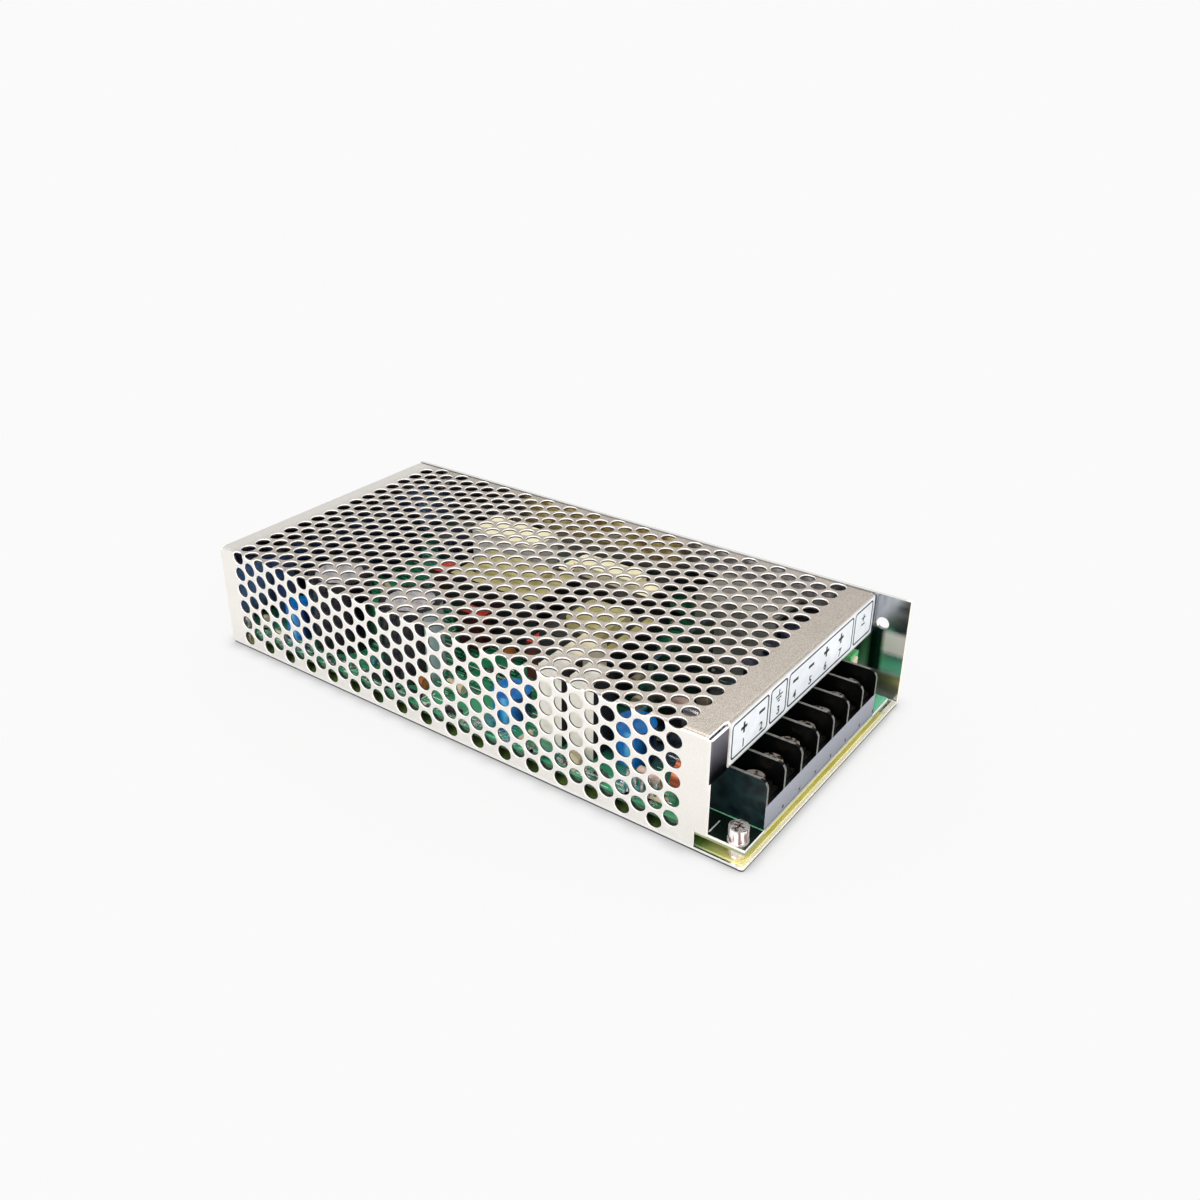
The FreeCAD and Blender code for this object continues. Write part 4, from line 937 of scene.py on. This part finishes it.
def on_label(y, z, out):
    """A place on the label's front."""
    return (LABEL_HIGH.x - SUNK + out, y, z)


def on_block_foot(y, z, out):
    """A place on the front of the block's foot."""
    return (BLOCK_HIGH.x - SUNK + out, y, z)


def label_marks():
    """Thin frames round the groups of terminals, and their signs."""
    made = Shapes(on_label)
    low, high = LABEL_LOW.z + 0.9, LABEL_HIGH.z - 0.5
    for start_y, end_y in FRAMES:
        inner = (start_y + FRAME_WIDTH, low + FRAME_WIDTH, end_y - FRAME_WIDTH, high - FRAME_WIDTH)
        made.ring(rounded_outline(start_y, low, end_y, high, FRAME_RADIUS),
                  rounded_outline(*inner, FRAME_RADIUS - FRAME_WIDTH), INK)
    middle = high - 3.6
    bars = []
    for way, y in enumerate(WAY_PLACES):
        if way != EARTH_WAY:
            bars.append((y, middle, SIGN_HALF, SIGN_THICK))
        if way in PLUS_WAYS:
            bars.append((y, middle, SIGN_THICK, SIGN_HALF))
    earth = WAY_PLACES[EARTH_WAY]
    bars.append((earth, middle + 0.9, THIN, 0.9))
    bars += [(earth, middle - 0.9 * step, 1.9 - 0.65 * step, 0.225) for step in range(3)]
    adjust = sum(FRAMES[-1]) / 2
    bars += [(adjust, middle, 1.2, THIN), (adjust, middle, THIN, 1.2)]
    bars.append((adjust, middle - 2.2, 1.2, THIN))
    for bar in bars:
        made.prism(bar_outline(*bar), INK)
    item = new_mesh("label_marks", made.points, made.faces, "ink")
    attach(item, "case")
    dots = Shapes(on_block_foot)
    for y in WAY_PLACES:
        dots.prism(disc_outline(y + WAY_PITCH / 2 + 0.3, BLOCK_LOW.z + 1.2, 0.5), INK)
    item = new_mesh("block_foot_dots", dots.points, dots.faces, "ink")
    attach(item, "case")
    for way, y in enumerate(WAY_PLACES):
        number_on_label(str(way + 1), y, low + 1.3)


def number_on_label(text, y, z):
    """A plain number below a terminal's sign."""
    curve = bpy.data.curves.new("number_" + text, "FONT")
    curve.body = text
    curve.align_x = "CENTER"
    curve.size = 3.6 * MM
    curve.offset = 0.08 * MM
    curve.extrude = 0.02 * MM
    curve.resolution_u = 3
    drawn = in_scene("number_" + text, curve)
    shown = in_scene("label_number_" + text, bpy.data.meshes.new_from_object(drawn))
    bpy.data.objects.remove(drawn)
    turn = Matrix(((0, 0, 1), (1, 0, 0), (0, 1, 0))).to_4x4()
    shown.matrix_world = Matrix.Translation(Vector(on_label(y, z, 0.03)) * MM) @ turn
    dress(shown, "ink")
    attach(shown, "case")


label_marks()


# Small parts on the board

BOARD_TOP = BOARD_HIGH.z
SCREW_PLACES = [(95.7, -45.3), (-95.7, -45.3), (-95.7, 36.8), (73.7, 36.8)]
SCREW_ROOM = 4
# The part of the board that may hold small parts
FREE_X = (-97.0, 80.0)
FREE_Y = (BOARD_LOW.y + 0.4, 46.0)
# Where parts are tried: near the side holes, and all over the board
SIDE_ZONE = (-92, -47.2, 72, -42.5)
WHOLE_ZONE = (-92, -47, 72, 44)
ZONES = [SIDE_ZONE] * 3 + [WHOLE_ZONE] * 4
PRINT = 0.03


def solids_above():
    """A tree of everything that stands on the board, in metres."""
    points = []
    faces = []
    for node, item in NODES.items():
        if node in ("mesh_cover", "terminal_label", "chassis", "insulation_sheet", "circuit_board"):
            continue
        first = len(points)
        points += [tuple(vertex.co) for vertex in item.data.vertices]
        faces += [tuple(first + number for number in face.vertices) for face in item.data.polygons]
    return BVHTree.FromPolygons(points, faces)


class BoardParts:
    """Small parts laid on free spots of the board, one mesh for each paint."""

    def __init__(self):
        self.above = solids_above()
        self.taken = []
        self.shapes = {}

    def free(self, low_x, low_y, high_x, high_y):
        """Whether nothing stands on a rectangle of the board; if so it is taken."""
        if low_x < FREE_X[0] or high_x > FREE_X[1] or low_y < FREE_Y[0] or high_y > FREE_Y[1]:
            return False
        for other in self.taken:
            if low_x < other[2] and other[0] < high_x and low_y < other[3] and other[1] < high_y:
                return False
        for x in steps_between(low_x, high_x, 4):
            for y in steps_between(low_y, high_y, 4):
                start_at = Vector((x, y, COVER_HIGH.z)) * MM
                if self.above.ray_cast(start_at, Vector((0, 0, -1)))[0] is not None:
                    return False
        self.taken.append((low_x, low_y, high_x, high_y))
        return True

    def inside(self, x, y):
        """Whether a place lies on the part of the board that may hold small parts."""
        return FREE_X[0] < x < FREE_X[1] and FREE_Y[0] < y < FREE_Y[1]

    def of_paint(self, paint, lay):
        """The shapes of one paint, set to be laid in the given way."""
        made = self.shapes.setdefault(paint, Shapes(lay))
        made.lay = lay
        return made

    def flat(self, paint, outline, thick, height=0.0):
        """An outline on the board, or at a height above it."""
        made = self.of_paint(paint, lambda a, b, out: (a, b, BOARD_TOP + height + out))
        made.prism(outline, thick)

    def post(self, paint, x, y, low, high, radius):
        """A standing cylinder."""
        made = self.of_paint(paint, lambda a, b, out: (x + a, y + b, low + out))
        made.prism(disc_outline(0, 0, radius), high - low)

    def log(self, paint, x, y, height, length, radius, turned):
        """A lying cylinder along X, or along Y when turned."""
        if turned:
            made = self.of_paint(paint, lambda a, b, out: (x + b, y - length / 2 + out, height + a))
        else:
            made = self.of_paint(paint, lambda a, b, out: (x - length / 2 + out, y + a, height + b))
        made.prism(disc_outline(0, 0, radius, 12), length)

    def finish(self):
        """One mesh for each paint."""
        for paint, made in self.shapes.items():
            item = new_mesh("small_" + paint, made.points, made.faces, paint)
            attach(item, "case")


def tried_place(chance, attempt):
    """A random place in the zone whose turn it is."""
    low_x, low_y, high_x, high_y = ZONES[attempt % len(ZONES)]
    return chance.uniform(low_x, high_x), chance.uniform(low_y, high_y)


def small_parts():
    """Resistors, capacitors, pads and white lines, scattered the same way each time."""
    chance = random.Random(11)
    parts = BoardParts()
    for x, y in SCREW_PLACES:
        parts.taken.append((x - SCREW_ROOM, y - SCREW_ROOM, x + SCREW_ROOM, y + SCREW_ROOM))
    for attempt in range(150):
        x, y = tried_place(chance, attempt)
        turned = chance.random() < 0.35
        kind = chance.choice(["resistor", "resistor", "jumper", "chip", "disc"])
        room = (2.6, 1.2) if kind == "disc" else (4.2, 1.3)
        crosswise = turned != (kind == "disc")
        half_x, half_y = room[::-1] if crosswise else room
        if not parts.free(x - half_x, y - half_y, x + half_x, y + half_y):
            continue
        if kind == "resistor":
            paint = chance.choice(["beige_body", "beige_body", "teal_body"])
            parts.log(paint, x, y, BOARD_TOP + 1.3, 4.8, 1.0, turned)
            parts.log("solder", x, y, BOARD_TOP + 1.3, 8.0, 0.25, turned)
        elif kind == "disc":
            paint = chance.choice(["brown_dip", "teal_body", "beige_body"])
            parts.log(paint, x, y, BOARD_TOP + 2.4, 1.8, 2.2, not turned)
        elif kind == "jumper":
            parts.log("solder", x, y, BOARD_TOP + 0.5, 7.6, 0.3, turned)
        else:
            half = (1.1, 2.6) if turned else (2.6, 1.1)
            parts.flat("black_epoxy", bar_outline(x, y, *half), 1.2)
    for attempt in range(700):
        x, y = tried_place(chance, attempt)
        if chance.random() < 0.45:
            radius = chance.uniform(0.6, 1.1)
            if parts.inside(x, y):
                parts.flat("solder", disc_outline(x, y, radius), 0.25)
            continue
        length = chance.uniform(2.5, 9.0)
        width = chance.uniform(0.25, 0.55)
        if chance.random() < 0.7:
            outline = bar_outline(x, y, length / 2, width / 2)
        else:
            outline = bar_outline(x, y, width / 2, length / 4)
        crowded = x > 30 and y > -36 and attempt % 3 > 0
        if not crowded and all(parts.inside(*corner) for corner in outline):
            parts.flat(chance.choice(["silk", "bright_track"]), outline, PRINT)
    parts.finish()


def trimmings():
    """Bare capacitor tops, dark crosses of painted shade for screw recesses, pins, and single forms
    seen through a few holes.
    """
    parts = BoardParts()
    low, high = box_mm("bulk_capacitors")
    radius = (high.y - low.y) / 2
    for x in (low.x + radius, high.x - radius):
        parts.post("can_top", x, low.y + radius, high.z - SUNK, high.z + SUNK, radius * 0.78)
    # Painted shade: a dark cross on each board screw for its recess
    low, high = box_mm("board_screws")
    for x, y in SCREW_PLACES:
        for half in ((1.3, 0.28), (0.28, 1.3)):
            parts.flat("recess", bar_outline(x, y, *half), 2 * SUNK, high.z - SUNK - BOARD_TOP)
    parts.flat("silk", box_outline(87.9, -46.9, 88.3, -41.3), PRINT)
    for index in range(5):
        parts.post("solder", 61.5 + 2.2 * index, -44.5, BOARD_TOP, 12.5, 0.7)
    parts.log("pink_body", 66.0, -40.5, 10.0, 7.5, 1.9, False)
    parts.log("beige_body", -8.0, -36.0, 9.0, 6.5, 1.6, False)
    parts.log("beige_body", 36.5, -2.0, 11.5, 6.0, 1.5, True)
    parts.log("pink_body", 54.5, -6.5, 12.0, 5.5, 1.7, False)
    low, high = box_mm("cement_resistors")
    rear = box_outline(low.x + 0.1, high.y + 0.2, low.x + 8, high.y + 11.9)
    parts.flat("pale_body", rear, high.z - BOARD_TOP)
    foot = BLOCK_LOW.y - 0.5
    track = box_outline(BLOCK_LOW.x - 2, foot, BLOCK_HIGH.x + 0.05, foot + 0.4)
    parts.flat("bright_track", track, PRINT)
    parts.flat("brown_dip", box_outline(83.2, 34.75, 86.4, 35.05), 8.0)
    parts.finish()


def screw_recesses():
    """A dark cross on top of each terminal screw, painted shade for its recess; it turns with the
    screw.
    """
    for way in range(1, WAYS + 1):
        low, high = box_mm("terminal_screw_" + str(way))
        centre = (low + high) / 2
        made = Shapes(lambda a, b, out: (centre.x + a, centre.y + b, high.z - SUNK + out))
        for end in (Vector((1.5, -0.5)), Vector((0.5, 1.5))):
            side = end.orthogonal().normalized() * 0.3
            made.prism([-end - side, end - side, end + side, side - end], 2 * SUNK)
        item = new_mesh("screw_recess_" + str(way), made.points, made.faces, "recess")
        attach(item, "screw_" + str(way))


small_parts()
trimmings()
screw_recesses()


# Camera, floor and light

# The photograph's perspective, solved from the cover's holes: pixels, metres and turns
PHOTO_SIZE = 1200
FOCAL_PIXELS = 1159.87
PRINCIPAL = (552.13, 588.35)
CAMERA_AT = (0.20167, -0.25771, 0.19741)
AZIMUTH = math.radians(37.796)
ELEVATION = math.radians(27.056)
ROLL = math.radians(-0.660)


def make_camera():
    """The camera as the photograph's perspective gives it."""
    right = Vector((math.cos(AZIMUTH), math.sin(AZIMUTH), 0))
    back = Vector((math.sin(AZIMUTH) * math.cos(ELEVATION),
                   -math.cos(AZIMUTH) * math.cos(ELEVATION), math.sin(ELEVATION)))
    up = back.cross(right)
    rolled_right = right * math.cos(ROLL) + up * math.sin(ROLL)
    rolled_up = up * math.cos(ROLL) - right * math.sin(ROLL)
    data = bpy.data.cameras.new("camera")
    data.sensor_width = 36
    data.lens = FOCAL_PIXELS / PHOTO_SIZE * data.sensor_width
    data.shift_x = (PHOTO_SIZE / 2 - PRINCIPAL[0]) / PHOTO_SIZE
    data.shift_y = (PRINCIPAL[1] - PHOTO_SIZE / 2) / PHOTO_SIZE
    data.clip_start = 0.01
    item = in_scene("camera", data)
    columns = Matrix((rolled_right, rolled_up, back)).transposed()
    item.matrix_world = Matrix.Translation(CAMERA_AT) @ columns.to_4x4()
    bpy.context.scene.camera = item


BACKDROP = srgb(250, 250, 250)
FLOOR_HALF = 6000
FLOOR_DROP = 0.05


def make_floor():
    """A pale floor with the object's contact shadow, partly real in its dim diffuse part and partly
    painted by ambient occlusion, that fades to the backdrop.
    """
    made = bpy.data.materials.new("floor")
    nodes = Nodes(made)
    shaded = nodes.add("BsdfDiffuse", {"Color": srgb(62, 62, 62)})[0]
    beyond = nodes.add("Emission", {"Color": BACKDROP, "Strength": 1.0})[0]
    # Painted contact shadow: ambient occlusion dims the lift near the object
    closeness = nodes.add("AmbientOcclusion", {"Distance": 6.0 * MM}, samples=8)["AO"]
    contact = nodes.ramp(closeness, 0.5, 0.95, 0.5, 0.92)
    lift = nodes.add("Emission", {"Color": BACKDROP, "Strength": contact})[0]
    near = nodes.add("AddShader", {0: shaded, 1: lift})[0]
    position = nodes.add("TexCoord")["Object"]
    squeeze = nodes.add("Mapping", {"Vector": position, "Scale": (6.5, 9.5, 1)})[0]
    radius = nodes.add("VectorMath", {0: squeeze}, operation="LENGTH")["Value"]
    fade = nodes.ramp(radius, 0.78, 1.0)
    shown = nodes.add("MixShader", {0: fade, 1: near, 2: beyond})[0]
    seen = nodes.add("LightPath")["Is Camera Ray"]
    other = nodes.add("BsdfDiffuse", {"Color": srgb(215, 215, 215)})[0]
    result = nodes.add("MixShader", {0: seen, 1: other, 2: shown})[0]
    nodes.add("OutputMaterial", {"Surface": result})
    corners = bar_outline(0, 0, FLOOR_HALF, FLOOR_HALF)
    item = new_mesh("floor", [(x, y, -FLOOR_DROP) for x, y in corners], [(0, 1, 2, 3)])
    item.data.materials.append(made)


def make_world():
    """White light from all sides, and the backdrop where the camera sees past the floor."""
    world = bpy.data.worlds.new("studio")
    nodes = Nodes(world)
    rays = nodes.add("LightPath")
    seen = nodes.math("MAXIMUM", rays["Is Camera Ray"], rays["Is Transmission Ray"])
    light = nodes.add("Background", {"Color": (1, 1, 1, 1), "Strength": 0.35})[0]
    shown = nodes.add("Background", {"Color": BACKDROP, "Strength": 1.0})[0]
    result = nodes.add("MixShader", {0: seen, 1: light, 2: shown})[0]
    nodes.add("OutputWorld", {"Surface": result})
    bpy.context.scene.world = world


def make_lamp(name, at, target, size, power, colour=(1, 1, 1)):
    """A rectangular lamp that faces its target."""
    data = bpy.data.lights.new(name, "AREA")
    data.shape = "RECTANGLE"
    data.size, data.size_y = size
    data.energy = power
    data.color = colour
    item = in_scene(name, data)
    item.location = at
    item.rotation_mode = "QUATERNION"
    item.rotation_quaternion = (Vector(at) - Vector(target)).to_track_quat("Z", "Y")


make_camera()
make_floor()
make_world()
make_lamp("key", (-0.15, -1.0, 0.45), (0, 0, 0.02), (1.2, 0.7), 11.0)
make_lamp("overhead", (-0.1, 0.35, 1.0), (0, 0, 0.02), (0.9, 0.9), 8.0, (1.0, 0.97, 0.93))
make_lamp("front", (1.0, -0.35, 0.4), (0.05, 0, 0.02), (0.6, 0.5), 8.0)

bpy.context.scene.view_settings.view_transform = "Standard"
